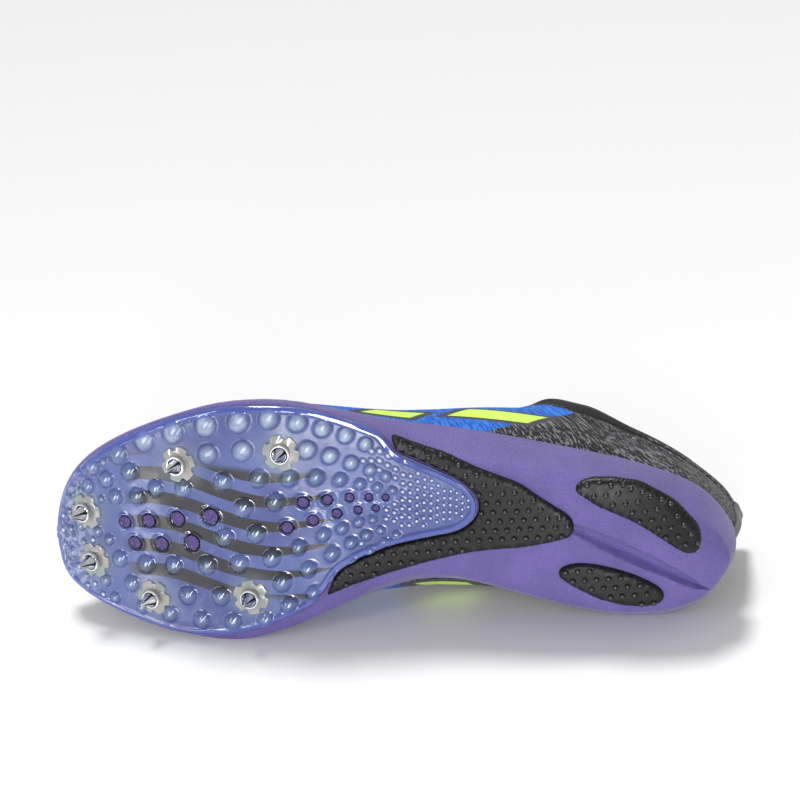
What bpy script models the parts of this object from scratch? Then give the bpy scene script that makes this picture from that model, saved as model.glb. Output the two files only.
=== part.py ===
# A left track spike shoe, lying on its medial side with its sole towards -Y.
#
# It is modelled upright in the shoe's own frame, in metres: x runs from the heel
# to the toe, y to the lateral side and z from the sole to the ankle. At the end
# the finished pieces are turned on to their side and set on the floor, z = 0.

import math

import bmesh
import bpy
import numpy as np
from mathutils import Matrix, Vector

# Driving sizes
LENGTH = 0.285             # sole, heel to toe
BALL_WIDTH = 0.104         # sole, widest
TOE_SPRING = 0.0275        # underside of the toe tip over the ball
HEEL_STACK = 0.026         # foam, underside to lip, at the heel
INSTEP_HEIGHT = 0.086      # top of the throat over the ball
GAP = 0.0003               # clearance between pieces that touch

# Midsole
HEEL_LEAN = 0.003          # bottom edge of the heel ahead of its lip
TOE_LEAN = 0.0008          # bottom edge of the toe behind its lip
EDGE_RISE = 0.0016         # roll of the underside at its edge
WALL_BULGE = 0.0009
LIP_WIDTH = 0.0025
LIP_ROUND = 0.0005
SEAT_DROP = 0.0050         # seat below the lip
SEAT_CUP = 0.0012          # middle of the seat below its edge
ROLL_FROM = 0.70           # share of the half width at which the underside rolls up
CHANNEL_DEPTH = 0.0045
CHANNEL_WIDTH = 0.0080
CHANNEL_FLOOR = 0.45       # flat share of the groove's width

# Plate and rubber
PLATE_THICKNESS = 0.0014
PLATE_MARGIN = 0.0008      # foam that shows outside the plate
RIM_WIDTH = 0.0023
RIM_HEIGHT = 0.0008
RIM_SLOPE = 0.0006         # run of the rim's inner slope
RIM_ROUND = 0.0005
RUBBER_THICKNESS = 0.0018
RUBBER_BEVEL = 0.0006
SEAM = 0.0005              # between plate and rubber
BLEND = 0.030              # length over which the plate's margin starts
POD_THICKNESS = 0.0020

# Studs of the plate
STUD_PITCH = 0.0141        # along the ball
STUD_DIAMETER = 0.0070
STUD_HEIGHT = 0.0016
STUD_SMALLEST = 0.0041     # finer ones are surface texture
STUD_MARGIN = 0.0008
STUD_SIDES = 6
STUD_CROWN = 0.60          # width of a stud's top

# Spikes and their receptacles
RECEPTACLE_DIAMETER = 0.0146
RECEPTACLE_THICKNESS = 0.0016
RECEPTACLE_LOBES = 6
RECEPTACLE_BEVEL = 0.0004
LOBE_DEPTH = 0.0011
FLANGE_DIAMETER = 0.0072
FLANGE_THICKNESS = 0.0012
SPIKE_LENGTH = 0.0068
SPIKE_ROOT = 0.0052
SPIKE_TIP = 0.0013
SPIKE_LEAN = math.radians(5.0)
SPIKE_SIDES = 12

# Upper, insole, tongue and laces
UPPER_WALL = 0.0020
FEATHER_SLACK = 0.0002     # wall's foot inside the lip, over the gaps
BINDING_STEP = 0.0006      # collar and eyestay stand proud of the knit
BINDING_FROM = 0.90        # share of the way from the sole to the opening
BINDING_SLOPE = 0.012      # share over which the step rises
INSOLE_THICKNESS = 0.0028
INSOLE_GAP = 0.0005
INSOLE_ROUND = 0.0006
TONGUE_THICKNESS = 0.0028
TONGUE_TUCK = 0.88         # share of the way up at which the tongue's edge lies
TONGUE_FROM = 0.305        # share of LENGTH at which it leaves the throat
TONGUE_EDGE = 0.65         # thickness of its edge
TONGUE_GAP = 0.0013        # under the eyestay
TONGUE_FLAP = 0.0020       # rolled side edge of its free end
TONGUE_LAST_RIB = 22       # last rib that a whole row of the tongue lies on
# Its front edge, as a rib and a share of the way up it.
TONGUE_FRONT = ((23, 0.88), (26, 0.93), (29, 0.95), (32, 0.95), (35, 0.95),
                (38, 0.93), (41, 0.88))
TONGUE_DIP = 0.0024        # how far it sinks to go in under the vamp
TONGUE_CROWN = 0.0025
TONGUE_TIP = Vector((-0.011, 0.0, 0.009))
TONGUE_TAPER = 0.82        # width of the tongue's top edge
LACE_RADIUS = 0.0014
LACE_HEM = 0.965           # share of the way up at which a lace leaves the eyestay
LACE_CROWN = 0.0032
LACE_STEPS = 8
# Share of the way along the sole, and clearance from the eyestay.
LACE_ROWS = (
    (0.377, 0.0009),
    (0.431, 0.0007),
    (0.486, 0.0002),
    (0.544, 0.0002),
    (0.616, 0.0002),
    (0.720, 0.0001),
)

# Resting flats where the shoe lies on the floor
FLAT_DEPTH = 0.0004
FLOOR_BOX = Vector((0.5, 0.5, 0.02))

AROUND = 64                # points round each large outline
NARROW = 0.002             # least half width that a share is taken of
END_REACH = 0.16           # how near a drawn-in ring comes to an outline's ends
SHARP_EDGE = math.radians(40)
POD_AROUND = 28

# Across is a share of BALL_WIDTH, height of TOE_SPRING, thickness of HEEL_STACK.
SOLE_COLUMNS = ("share", "low_lateral", "low_medial", "lip_lateral", "lip_medial",
                "height", "thickness")
SOLE_ROWS = (
    (0.000, -0.029, -0.029, -0.029, -0.029, 0.364, 0.690),
    (0.0105, 0.048, -0.106, 0.067, -0.120, 0.313, 0.742),
    (0.032, 0.106, -0.173, 0.142, -0.231, 0.204, 0.846),
    (0.063, 0.168, -0.212, 0.210, -0.308, 0.109, 0.923),
    (0.109, 0.231, -0.240, 0.258, -0.346, 0.047, 0.960),
    (0.165, 0.274, -0.250, 0.295, -0.349, 0.015, 0.977),
    (0.232, 0.291, -0.231, 0.322, -0.323, 0.015, 0.954),
    (0.305, 0.308, -0.192, 0.350, -0.288, 0.044, 0.900),
    (0.390, 0.315, -0.159, 0.378, -0.243, 0.102, 0.800),
    (0.446, 0.337, -0.168, 0.388, -0.253, 0.135, 0.727),
    (0.509, 0.404, -0.255, 0.404, -0.317, 0.138, 0.670),
    (0.579, 0.471, -0.375, 0.436, -0.404, 0.087, 0.638),
    (0.646, 0.492, -0.464, 0.462, -0.466, 0.033, 0.610),
    (0.716, 0.476, -0.517, 0.442, -0.490, 0.073, 0.515),
    (0.789, 0.406, -0.515, 0.373, -0.488, 0.211, 0.438),
    (0.860, 0.311, -0.492, 0.288, -0.466, 0.400, 0.404),
    (0.919, 0.209, -0.455, 0.188, -0.433, 0.596, 0.390),
    (0.965, 0.087, -0.407, 0.072, -0.389, 0.800, 0.365),
    (0.9895, -0.034, -0.346, -0.043, -0.337, 0.935, 0.342),
    (1.000, -0.192, -0.192, -0.192, -0.192, 1.000, 0.327),
)

# The plate's tail, from its tip to where the plate meets the sole's edge.
TAIL_COLUMNS = ("share", "lateral", "medial")
TAIL_ROWS = (
    (0.361, 0.135, 0.135),
    (0.366, 0.182, 0.088),
    (0.374, 0.206, 0.062),
    (0.390, 0.235, 0.030),
    (0.420, 0.267, 0.004),
    (0.456, 0.302, -0.028),
    (0.484, 0.332, -0.055),
    (0.492, 0.385, -0.066),
    (0.512, 0.406, -0.092),
    (0.545, 0.438, -0.146),
    (0.562, 0.450, -0.195),
    (0.575, 0.460, -0.290),
    (0.600, 0.475, -0.338),
    (0.640, 0.484, -0.404),
    (0.680, 0.480, -0.455),
    (0.720, 0.467, -0.494),
)

# The midfoot rubber's outer edge, from its tip to its front end on each side.
# Columns: share, across.
RUBBER_LATERAL = (
    (0.226, 0.083),
    (0.229, 0.118),
    (0.243, 0.148),
    (0.262, 0.176),
    (0.281, 0.205),
    (0.304, 0.243),
    (0.334, 0.267),
    (0.370, 0.293),
    (0.405, 0.329),
    (0.450, 0.358),
    (0.488, 0.392),
)
RUBBER_MEDIAL = (
    (0.226, 0.083),
    (0.229, 0.052),
    (0.243, 0.034),
    (0.262, 0.016),
    (0.304, -0.016),
    (0.334, -0.030),
    (0.370, -0.054),
    (0.405, -0.086),
    (0.450, -0.135),
    (0.508, -0.202),
    (0.542, -0.242),
    (0.572, -0.286),
)
# How far forward the rubber's inner edge runs beside the plate's tail.
RUBBER_INNER_LATERAL = 0.481
RUBBER_INNER_MEDIAL = 0.561
RUBBER_STATIONS = 16       # along each branch

# Heel pods, each from its rear tip to its front tip.
LATERAL_POD_ROWS = (
    (0.052, 0.060, 0.060),
    (0.057, 0.118, 0.014),
    (0.070, 0.160, 0.010),
    (0.095, 0.222, 0.045),
    (0.120, 0.258, 0.088),
    (0.150, 0.290, 0.133),
    (0.175, 0.292, 0.158),
    (0.195, 0.290, 0.176),
    (0.212, 0.284, 0.205),
    (0.228, 0.250, 0.232),
    (0.230, 0.240, 0.240),
)
MEDIAL_POD_ROWS = (
    (0.096, -0.168, -0.168),
    (0.103, -0.134, -0.197),
    (0.120, -0.108, -0.211),
    (0.142, -0.083, -0.213),
    (0.175, -0.062, -0.203),
    (0.208, -0.052, -0.170),
    (0.236, -0.070, -0.132),
    (0.246, -0.102, -0.102),
)

# The groove between the pods. Columns: share, across, width, depth.
CHANNEL_ROWS = (
    (0.036, -0.146, 0.05, 0.35),
    (0.060, -0.112, 0.55, 0.80),
    (0.105, -0.052, 0.85, 1.00),
    (0.160, 0.010, 1.00, 1.00),
    (0.205, 0.060, 0.90, 0.75),
    (0.240, 0.090, 0.30, 0.30),
)

# Columns: share, across.
SPIKE_ROWS = (
    (0.787, 0.207),
    (0.937, -0.065),
    (0.924, -0.265),
    (0.827, -0.369),
    (0.638, 0.300),
    (0.679, -0.304),
)

# Rows of studs. Columns: across as a share of the plate's width, then the first
# and last stud as shares of LENGTH.
STUD_ROWS = (
    (0.920, 0.924, 0.500),
    (0.800, 0.908, 0.500),
    (0.660, 0.891, 0.500),
    (0.540, 0.687, 0.630),
    (0.430, 0.715, 0.650),
    (0.315, 0.8825, 0.500),
    (0.180, 0.9035, 0.500),
    (0.090, 0.9246, 0.500),
)
# How the studs grow from the plate's tail, as shares of the largest.
GRADE_COLUMNS = ("share", "pitch", "diameter")
GRADE_ROWS = (
    (0.360, 0.33, 0.21),
    (0.495, 0.51, 0.43),
    (0.550, 0.64, 0.60),
    (0.620, 0.78, 0.78),
    (0.670, 0.91, 0.92),
    (0.720, 1.00, 1.00),
    (0.800, 0.93, 1.00),
    (0.900, 0.83, 0.95),
)

# Ribs of the upper from the sole to the opening. x is a share of LENGTH, y of
# BALL_WIDTH, z of INSTEP_HEIGHT. lean and rise lead off from the sole, spread and
# drop lead in to the opening, as shares of INSTEP_HEIGHT.
RIB_COLUMNS = ("share", "x", "y", "z", "lean", "rise", "spread", "drop")
LATERAL_RIBS = (
    (0.000, -0.008, -0.085, 0.930, 0.06, 0.26, 0.00, 0.22),
    (0.032, 0.012, 0.012, 0.905, 0.05, 0.24, -0.02, 0.20),
    (0.109, 0.084, 0.190, 0.790, 0.06, 0.22, 0.02, 0.17),
    (0.180, 0.158, 0.295, 0.752, 0.09, 0.22, 0.06, 0.16),
    (0.250, 0.232, 0.358, 0.830, 0.12, 0.24, 0.08, 0.20),
    (0.300, 0.281, 0.345, 0.955, 0.12, 0.26, 0.08, 0.24),
    (0.340, 0.313, 0.300, 0.998, 0.10, 0.26, 0.14, 0.20),
    (0.400, 0.366, 0.215, 0.940, 0.07, 0.26, 0.24, 0.12),
    (0.480, 0.440, 0.172, 0.838, 0.04, 0.25, 0.26, 0.07),
    (0.570, 0.517, 0.144, 0.740, 0.02, 0.24, 0.27, 0.05),
    (0.660, 0.570, 0.115, 0.678, 0.01, 0.23, 0.29, 0.04),
    (0.760, 0.599, 0.078, 0.647, 0.01, 0.21, 0.38, 0.05),
    (0.880, 0.615, 0.036, 0.632, 0.01, 0.17, 0.60, 0.08),
    (1.000, 0.620, -0.010, 0.628, 0.02, 0.12, 0.82, 0.09),
)
MEDIAL_RIBS = (
    (0.000, -0.008, -0.085, 0.930, 0.06, 0.26, 0.00, 0.22),
    (0.032, 0.012, -0.175, 0.905, 0.00, 0.24, -0.02, 0.20),
    (0.109, 0.084, -0.262, 0.790, -0.01, 0.22, -0.04, 0.17),
    (0.180, 0.158, -0.292, 0.752, 0.00, 0.22, 0.00, 0.16),
    (0.250, 0.232, -0.305, 0.830, 0.10, 0.24, 0.04, 0.20),
    (0.300, 0.281, -0.290, 0.955, 0.24, 0.26, 0.08, 0.24),
    (0.340, 0.313, -0.245, 0.998, 0.33, 0.26, 0.14, 0.20),
    (0.400, 0.366, -0.185, 0.940, 0.40, 0.26, 0.20, 0.12),
    (0.480, 0.440, -0.160, 0.838, 0.35, 0.26, 0.20, 0.07),
    (0.570, 0.517, -0.142, 0.740, 0.12, 0.25, 0.23, 0.05),
    (0.660, 0.570, -0.125, 0.678, 0.02, 0.24, 0.29, 0.04),
    (0.760, 0.599, -0.096, 0.647, 0.01, 0.22, 0.40, 0.05),
    (0.880, 0.615, -0.056, 0.632, 0.01, 0.17, 0.60, 0.08),
    (1.000, 0.620, -0.010, 0.628, 0.02, 0.12, 0.82, 0.09),
)
RIB_STEPS = (0.0, 0.10, 0.22, 0.36, 0.50, 0.64, 0.78)
LINING_STEPS = (1.0, TONGUE_TUCK, 0.68, 0.44, 0.20, 0.0)


def column(rows, names, name):
    index = names.index(name)
    return [row[index] for row in rows]


def turn_of(share):
    # A share of a length as a half turn, which crowds points at both round ends.
    return math.acos(max(-1.0, min(1.0, 1.0 - 2.0 * share)))


def smooth_curve(xs, ys):
    # A curve through the rows that does not overshoot them.
    xs = np.array(xs, float)
    ys = np.array(ys, float)
    step = np.diff(xs)
    slope = np.diff(ys) / step
    tangent = np.zeros(len(xs))
    tangent[0] = slope[0]
    tangent[-1] = slope[-1]
    for i in range(1, len(xs) - 1):
        if slope[i - 1] * slope[i] > 0:
            before = 2 * step[i] + step[i - 1]
            after = step[i] + 2 * step[i - 1]
            tangent[i] = (before + after) / (before / slope[i - 1] + after / slope[i])

    def value(x):
        x = min(max(x, xs[0]), xs[-1])
        i = min(int(np.searchsorted(xs, x, side="right")) - 1, len(step) - 1)
        t = (x - xs[i]) / step[i]
        return float(ys[i] * (1 + 2 * t) * (1 - t) ** 2 + tangent[i] * step[i] * t * (1 - t) ** 2
                     + ys[i + 1] * t * t * (3 - 2 * t) - tangent[i + 1] * step[i] * t * t * (1 - t))

    return value


SOLE_TURNS = [turn_of(share) for share in column(SOLE_ROWS, SOLE_COLUMNS, "share")]


def sole_curve(name, size):
    values = [size * v for v in column(SOLE_ROWS, SOLE_COLUMNS, name)]
    return smooth_curve(SOLE_TURNS, values)


low_lateral = sole_curve("low_lateral", BALL_WIDTH)
low_medial = sole_curve("low_medial", BALL_WIDTH)
lip_lateral = sole_curve("lip_lateral", BALL_WIDTH)
lip_medial = sole_curve("lip_medial", BALL_WIDTH)
underside = sole_curve("height", TOE_SPRING)
thickness = sole_curve("thickness", HEEL_STACK)


def turn_at(x):
    return turn_of(x / LENGTH)


def low_turn_at(x):
    return turn_of((x - HEEL_LEAN) / (LENGTH - HEEL_LEAN - TOE_LEAN))


def edge_share(x, y):
    # 0 on the sole's middle line and 1 at the edge of its underside.
    turn = low_turn_at(x)
    middle = (low_lateral(turn) + low_medial(turn)) / 2
    half = (low_lateral(turn) - low_medial(turn)) / 2
    return abs(y - middle) / max(half, NARROW)


def bottom_height(x, y):
    roll = max(0.0, min(1.0, (edge_share(x, y) - ROLL_FROM) / (1 - ROLL_FROM)))
    return underside(turn_at(x)) + EDGE_RISE * roll * roll


def lip_height(x):
    turn = turn_at(x)
    return underside(turn) + thickness(turn)


def seat_height(x, y):
    turn = turn_at(x)
    middle = (lip_lateral(turn) + lip_medial(turn)) / 2
    half = max((lip_lateral(turn) - lip_medial(turn)) / 2, NARROW)
    across = min(1.0, abs(y - middle) / half)
    return lip_height(x) - SEAT_DROP - SEAT_CUP * (1 - across * across)


def rounds(count=AROUND):
    # Half turns round an outline: heel, lateral side, toe, medial side.
    for i in range(count):
        turn = 2 * math.pi * i / count
        yield (turn, True) if turn <= math.pi else (2 * math.pi - turn, False)


def sole_outline(level):
    # The sole's outline in plan: level 0 at its underside, 1 at its lip.
    start = HEEL_LEAN * (1 - level)
    end = LENGTH - TOE_LEAN * (1 - level)
    points = []
    for turn, lateral in rounds():
        x = start + (end - start) * (1 - math.cos(turn)) / 2
        low = low_lateral(turn) if lateral else low_medial(turn)
        lip = lip_lateral(turn) if lateral else lip_medial(turn)
        points.append((x, low + (lip - low) * level))
    return points


def piece_outline(rows, count=AROUND):
    # The outline in plan of a piece under the sole, from rows along its length.
    shares = column(rows, TAIL_COLUMNS, "share")
    first, last = shares[0], shares[-1]
    turns = [turn_of((share - first) / (last - first)) for share in shares]
    lateral = smooth_curve(turns, column(rows, TAIL_COLUMNS, "lateral"))
    medial = smooth_curve(turns, column(rows, TAIL_COLUMNS, "medial"))
    points = []
    for turn, is_lateral in rounds(count):
        x = LENGTH * (first + (last - first) * (1 - math.cos(turn)) / 2)
        side = lateral if is_lateral else medial
        points.append((x, BALL_WIDTH * side(turn)))
    return points


def inset(points, distance):
    # Each point moved inward, square to the outline.
    count = len(points)
    moved = []
    for i, (x, y) in enumerate(points):
        before = points[i - 1]
        after = points[(i + 1) % count]
        along = Vector((after[0] - before[0], after[1] - before[1])).normalized()
        moved.append((x + along.y * distance, y - along.x * distance))
    return moved


def shrink(points, share):
    # The outline drawn in towards its own middle line, and at each end towards one
    # point of that line.
    count = len(points)
    half = count // 2
    pairs = [(points[i], points[-i % count]) for i in range(half + 1)]
    xs = [(one[0] + two[0]) / 2 for one, two in pairs]
    ys = [(one[1] + two[1]) / 2 for one, two in pairs]
    reach = END_REACH * (xs[-1] - xs[0])
    drawn = []
    for i, (x, y) in enumerate(points):
        centre = min(max(xs[min(i, count - i)], xs[0] + reach), xs[-1] - reach)
        middle = Vector((centre, float(np.interp(centre, xs, ys))))
        drawn.append(tuple(middle.lerp(Vector((x, y)), share)))
    return drawn


def raised(points, height):
    return [Vector((x, y, height(x, y))) for x, y in points]


def cap(bm, ring, flip):
    # Closes a ring with a strip across, from the lateral to the medial side.
    count = len(ring)
    half = count // 2
    faces = [(ring[0], ring[1], ring[-1])]
    for i in range(1, half - 1):
        faces.append((ring[i], ring[i + 1], ring[-i - 1], ring[-i]))
    faces.append((ring[half - 1], ring[half], ring[half + 1]))
    for face in faces:
        bm.faces.new(tuple(reversed(face)) if flip else face)


def finish(bm, name, material, smooth=True):
    bmesh.ops.recalc_face_normals(bm, faces=bm.faces)
    mesh = bpy.data.meshes.new(name)
    bm.to_mesh(mesh)
    bm.free()
    mesh.materials.append(material)
    if smooth:
        mesh.shade_smooth()
        mesh.set_sharp_from_angle(angle=SHARP_EDGE)
    piece = bpy.data.objects.new(name, mesh)
    bpy.context.collection.objects.link(piece)
    return piece


def stacked(name, rings, material):
    # A closed solid through rings, with its first and last ring closed.
    bm = bmesh.new()
    loops = [[bm.verts.new(point) for point in ring] for ring in rings]
    count = len(loops[0])
    for low, high in zip(loops, loops[1:]):
        for i in range(count):
            j = (i + 1) % count
            bm.faces.new((low[i], low[j], high[j], high[i]))
    cap(bm, loops[0], False)
    cap(bm, loops[-1], True)
    return finish(bm, name, material)


def cut(piece, cutter, operation="DIFFERENCE"):
    modifier = piece.modifiers.new(operation.title(), "BOOLEAN")
    modifier.operation = operation
    modifier.solver = "EXACT"
    modifier.object = cutter
    cutter.hide_render = True
    cutter.display_type = "WIRE"


def material(name, colour, roughness, metallic=0.0):
    made = bpy.data.materials.new(name)
    made.use_nodes = True
    shader = made.node_tree.nodes["Principled BSDF"]
    shader.inputs["Base Color"].default_value = (*colour, 1.0)
    shader.inputs["Roughness"].default_value = roughness
    shader.inputs["Metallic"].default_value = metallic
    made.diffuse_color = (*colour, 1.0)
    return made


# Rings of a face that follows the underside, close together where it rolls up.
FINE_SHARES = (0.10, 0.35, 0.58, 0.75, 0.88, 1.0)


def make_midsole():
    foam = material("lavender foam", (0.36, 0.29, 0.55), 0.75)
    low = sole_outline(0.0)
    rings = [raised(shrink(low, share), bottom_height)
             for share in FINE_SHARES]
    for level in (0.15, 0.45, 0.75):
        bulge = WALL_BULGE * math.sin(math.pi * level)
        ring = []
        for (x, y), (x0, y0) in zip(inset(sole_outline(level), -bulge), low):
            bottom = bottom_height(x0, y0)
            ring.append(Vector((x, y, bottom + (lip_height(x) - bottom) * level)))
        rings.append(ring)
    lip = sole_outline(1.0)
    rings.append(raised(lip, lambda x, y: lip_height(x) - LIP_ROUND))
    rings.append(raised(inset(lip, LIP_ROUND), lambda x, y: lip_height(x)))
    rings.append(raised(inset(lip, LIP_WIDTH), lambda x, y: lip_height(x)))
    seat = inset(lip, LIP_WIDTH + GAP)
    rings += [raised(shrink(seat, share), seat_height) for share in (1.0, 0.60, 0.10)]
    midsole = stacked("midsole", rings, foam)
    cut(midsole, make_channel())
    return midsole


def make_channel():
    # The groove between the heel pods, as a boat-shaped cutter.
    bm = bmesh.new()
    sections = []
    for share, across, width, depth in CHANNEL_ROWS:
        x = share * LENGTH
        y = across * BALL_WIDTH
        half = CHANNEL_WIDTH * width / 2
        top = bottom_height(x, y) + CHANNEL_DEPTH * depth
        low = bottom_height(x, y) - CHANNEL_DEPTH
        flat = half * CHANNEL_FLOOR
        section = [(x, y - half, low), (x, y - half, top - CHANNEL_DEPTH * depth),
                   (x, y - flat, top), (x, y + flat, top),
                   (x, y + half, top - CHANNEL_DEPTH * depth), (x, y + half, low)]
        sections.append([bm.verts.new(point) for point in section])
    for one, two in zip(sections, sections[1:]):
        for i in range(len(one)):
            j = (i + 1) % len(one)
            bm.faces.new((one[i], one[j], two[j], two[i]))
    bm.faces.new(sections[0])
    bm.faces.new(sections[-1])
    return finish(bm, "channel_cutter", material("cutter", (0.5, 0.5, 0.5), 0.5), False)


def plate_outline():
    # The tail, then the sole's own edge, a margin inside it.
    rows = list(TAIL_ROWS)
    for row in SOLE_ROWS:
        share = row[0]
        if share > TAIL_ROWS[-1][0] + 0.02:
            x = HEEL_LEAN + share * (LENGTH - HEEL_LEAN - TOE_LEAN)
            rows.append((x / LENGTH, row[1], row[2]))
    outline = piece_outline(rows)
    count = len(outline)
    front = TAIL_ROWS[-1][0] * LENGTH
    start = front - BLEND
    drawn = inset(outline, PLATE_MARGIN)
    kept = []
    for i in range(count):
        share = max(0.0, min(1.0, (outline[i][0] - start) / (front - start)))
        kept.append((outline[i][0] + (drawn[i][0] - outline[i][0]) * share,
                     outline[i][1] + (drawn[i][1] - outline[i][1]) * share))
    return kept


def below(depth):
    return lambda x, y: bottom_height(x, y) - depth


def normal_at(x, y):
    # The way the underside faces, pointing away from the shoe.
    step = 0.004
    slope_x = (bottom_height(x + step, y) - bottom_height(x - step, y)) / (2 * step)
    slope_y = (bottom_height(x, y + step) - bottom_height(x, y - step)) / (2 * step)
    return Vector((slope_x, slope_y, -1.0)).normalized()


def grade(name):
    shares = column(GRADE_ROWS, GRADE_COLUMNS, "share")
    return smooth_curve(shares, column(GRADE_ROWS, GRADE_COLUMNS, name))


def stud_places(outline):
    # Centres and diameters of the studs, on a staggered lattice that bends with
    # the plate and leaves the receptacles free.
    pitch = grade("pitch")
    size = grade("diameter")
    half = len(outline) // 2
    side = outline[:half + 1]
    other = [outline[-i % len(outline)] for i in range(half + 1)]
    spikes = [(LENGTH * share, BALL_WIDTH * across) for share, across in SPIKE_ROWS]
    places = []
    for across, first, last in STUD_ROWS:
        x = first * LENGTH
        while x > last * LENGTH:
            diameter = STUD_DIAMETER * size(x / LENGTH)
            radius = diameter / 2
            high = float(np.interp(x, [p[0] for p in side], [p[1] for p in side]))
            low = float(np.interp(x, [p[0] for p in other], [p[1] for p in other]))
            y = low + across * (high - low)
            clear = min(high - y, y - low) > radius + RIM_WIDTH + STUD_MARGIN
            for spike in spikes:
                reach = RECEPTACLE_DIAMETER / 2 + radius + STUD_MARGIN
                clear = clear and math.dist((x, y), spike) > reach
            if clear and diameter >= STUD_SMALLEST:
                places.append((x, y, diameter))
            x -= STUD_PITCH * pitch(x / LENGTH)
    return places


def make_studs(outline):
    # Low domes, sunk a little into the plate that they are joined to.
    bm = bmesh.new()
    for x, y, diameter in stud_places(outline):
        radius = diameter / 2
        tall = STUD_HEIGHT * (0.45 + 0.55 * diameter / STUD_DIAMETER)
        base = Vector((x, y, bottom_height(x, y) - GAP - PLATE_THICKNESS))
        facing = normal_at(x, y)
        turn = Vector((0, 0, 1)).rotation_difference(facing).to_matrix()
        rings = []
        for reach, drop in ((1.0, -0.5 * PLATE_THICKNESS), (STUD_CROWN, tall)):
            ring = []
            for i in range(STUD_SIDES):
                angle = 2 * math.pi * i / STUD_SIDES
                offset = Vector((radius * reach * math.cos(angle),
                                 radius * reach * math.sin(angle), drop))
                ring.append(bm.verts.new(base + turn @ offset))
            rings.append(ring)
        for low, high in zip(rings, rings[1:]):
            for i in range(STUD_SIDES):
                j = (i + 1) % STUD_SIDES
                bm.faces.new((low[i], low[j], high[j], high[i]))
        bm.faces.new(rings[0])
        bm.faces.new(rings[-1])
    return finish(bm, "stud_shapes", material("stud", (0.5, 0.5, 0.6), 0.3), False)


def make_plate(outline):
    clear_blue = material("clear periwinkle plate", (0.30, 0.34, 0.62), 0.15)
    back = below(GAP)
    face = below(GAP + PLATE_THICKNESS)
    rim = below(GAP + PLATE_THICKNESS + RIM_HEIGHT)
    foot = inset(outline, RIM_WIDTH + RIM_SLOPE)
    rings = [raised(shrink(outline, share), back) for share in FINE_SHARES]
    rings += [raised(outline, face),
              raised(inset(outline, RIM_ROUND), rim), raised(inset(outline, RIM_WIDTH), rim)]
    rings += [raised(shrink(foot, share), face) for share in (1.0, 0.80, 0.45, 0.10)]
    plate = stacked("plate", rings, clear_blue)
    cut(plate, make_studs(outline), "UNION")
    return plate


def slab(name, outline, thick, colour_material):
    # A flat piece that follows the underside, with a bevelled lower edge.
    back = below(GAP)
    side = below(GAP + thick - RUBBER_BEVEL)
    face = below(GAP + thick)
    drawn = inset(outline, RUBBER_BEVEL)
    rings = [raised(shrink(outline, share), back) for share in FINE_SHARES]
    rings.append(raised(outline, side))
    rings += [raised(shrink(drawn, share), face) for share in (1.0, 0.55, 0.10)]
    return stacked(name, rings, colour_material)


def branch_edge(rows, index, end):
    # Points along one edge of a branch, from its round tip to its front end.
    first = rows[0][0]
    along = [math.sqrt(row[0] - first) for row in rows]
    across = smooth_curve(along, [row[index] for row in rows])
    points = []
    for k in range(RUBBER_STATIONS + 1):
        share = (end - first) * (1 - math.cos(math.pi / 2 * k / RUBBER_STATIONS))
        points.append((LENGTH * (first + share), BALL_WIDTH * across(math.sqrt(share))))
    return points


def rubber_edges():
    # The outer and inner edge of the midfoot rubber, from its lateral front end
    # back round the tail of the plate to its medial front end.
    outer = branch_edge(RUBBER_LATERAL, 1, RUBBER_LATERAL[-1][0])[:0:-1]
    outer += branch_edge(RUBBER_MEDIAL, 1, RUBBER_MEDIAL[-1][0])
    inner = branch_edge(TAIL_ROWS, 1, RUBBER_INNER_LATERAL)[:0:-1]
    inner += branch_edge(TAIL_ROWS, 2, RUBBER_INNER_MEDIAL)
    moved = []
    for i, (x, y) in enumerate(inner):
        before = inner[max(i - 1, 0)]
        after = inner[min(i + 1, len(inner) - 1)]
        along = Vector((after[0] - before[0], after[1] - before[1])).normalized()
        moved.append((x + along.y * SEAM, y - along.x * SEAM))
    return outer, moved


def make_rubber():
    # A curved strip between two edges, with both lower edges bevelled.
    black = material("black rubber", (0.02, 0.02, 0.022), 0.45)
    back = below(GAP)
    side = below(GAP + RUBBER_THICKNESS - RUBBER_BEVEL)
    face = below(GAP + RUBBER_THICKNESS)
    steps = (0.0, 0.25, 0.5, 0.75, 1.0)
    bm = bmesh.new()
    loops = []
    for one, two in zip(*rubber_edges()):
        outer, inner = Vector(one), Vector(two)
        tuck = RUBBER_BEVEL / (outer - inner).length
        drawn = [min(max(t, tuck), 1 - tuck) for t in steps]
        ring = raised([outer.lerp(inner, t) for t in steps], back)
        ring += raised([inner], side)
        ring += raised([outer.lerp(inner, t) for t in reversed(drawn)], face)
        ring += raised([outer], side)
        loops.append([bm.verts.new(point) for point in ring])
    for low, high in zip(loops, loops[1:]):
        for i in range(len(low)):
            j = (i + 1) % len(low)
            bm.faces.new((low[i], low[j], high[j], high[i]))
    bm.faces.new(loops[0])
    bm.faces.new(loops[-1])
    finish(bm, "midfoot_rubber", black)
    slab("lateral_heel_pod", piece_outline(LATERAL_POD_ROWS, POD_AROUND), POD_THICKNESS,
         material("lateral pod rubber", (0.02, 0.02, 0.022), 0.45))
    slab("medial_heel_pod", piece_outline(MEDIAL_POD_ROWS, POD_AROUND), POD_THICKNESS,
         material("medial pod rubber", (0.02, 0.02, 0.022), 0.45))


def turned_rings(base, turn, rings, name, colour_material, smooth=False):
    # A solid through rings given as (height, [(x, y), ...]) in its own frame.
    bm = bmesh.new()
    loops = []
    for height, points in rings:
        loops.append([bm.verts.new(base + turn @ Vector((x, y, height))) for x, y in points])
    for low, high in zip(loops, loops[1:]):
        for i in range(len(low)):
            j = (i + 1) % len(low)
            bm.faces.new((low[i], low[j], high[j], high[i]))
    bm.faces.new(loops[0])
    bm.faces.new(loops[-1])
    return finish(bm, name, colour_material, smooth)


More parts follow.
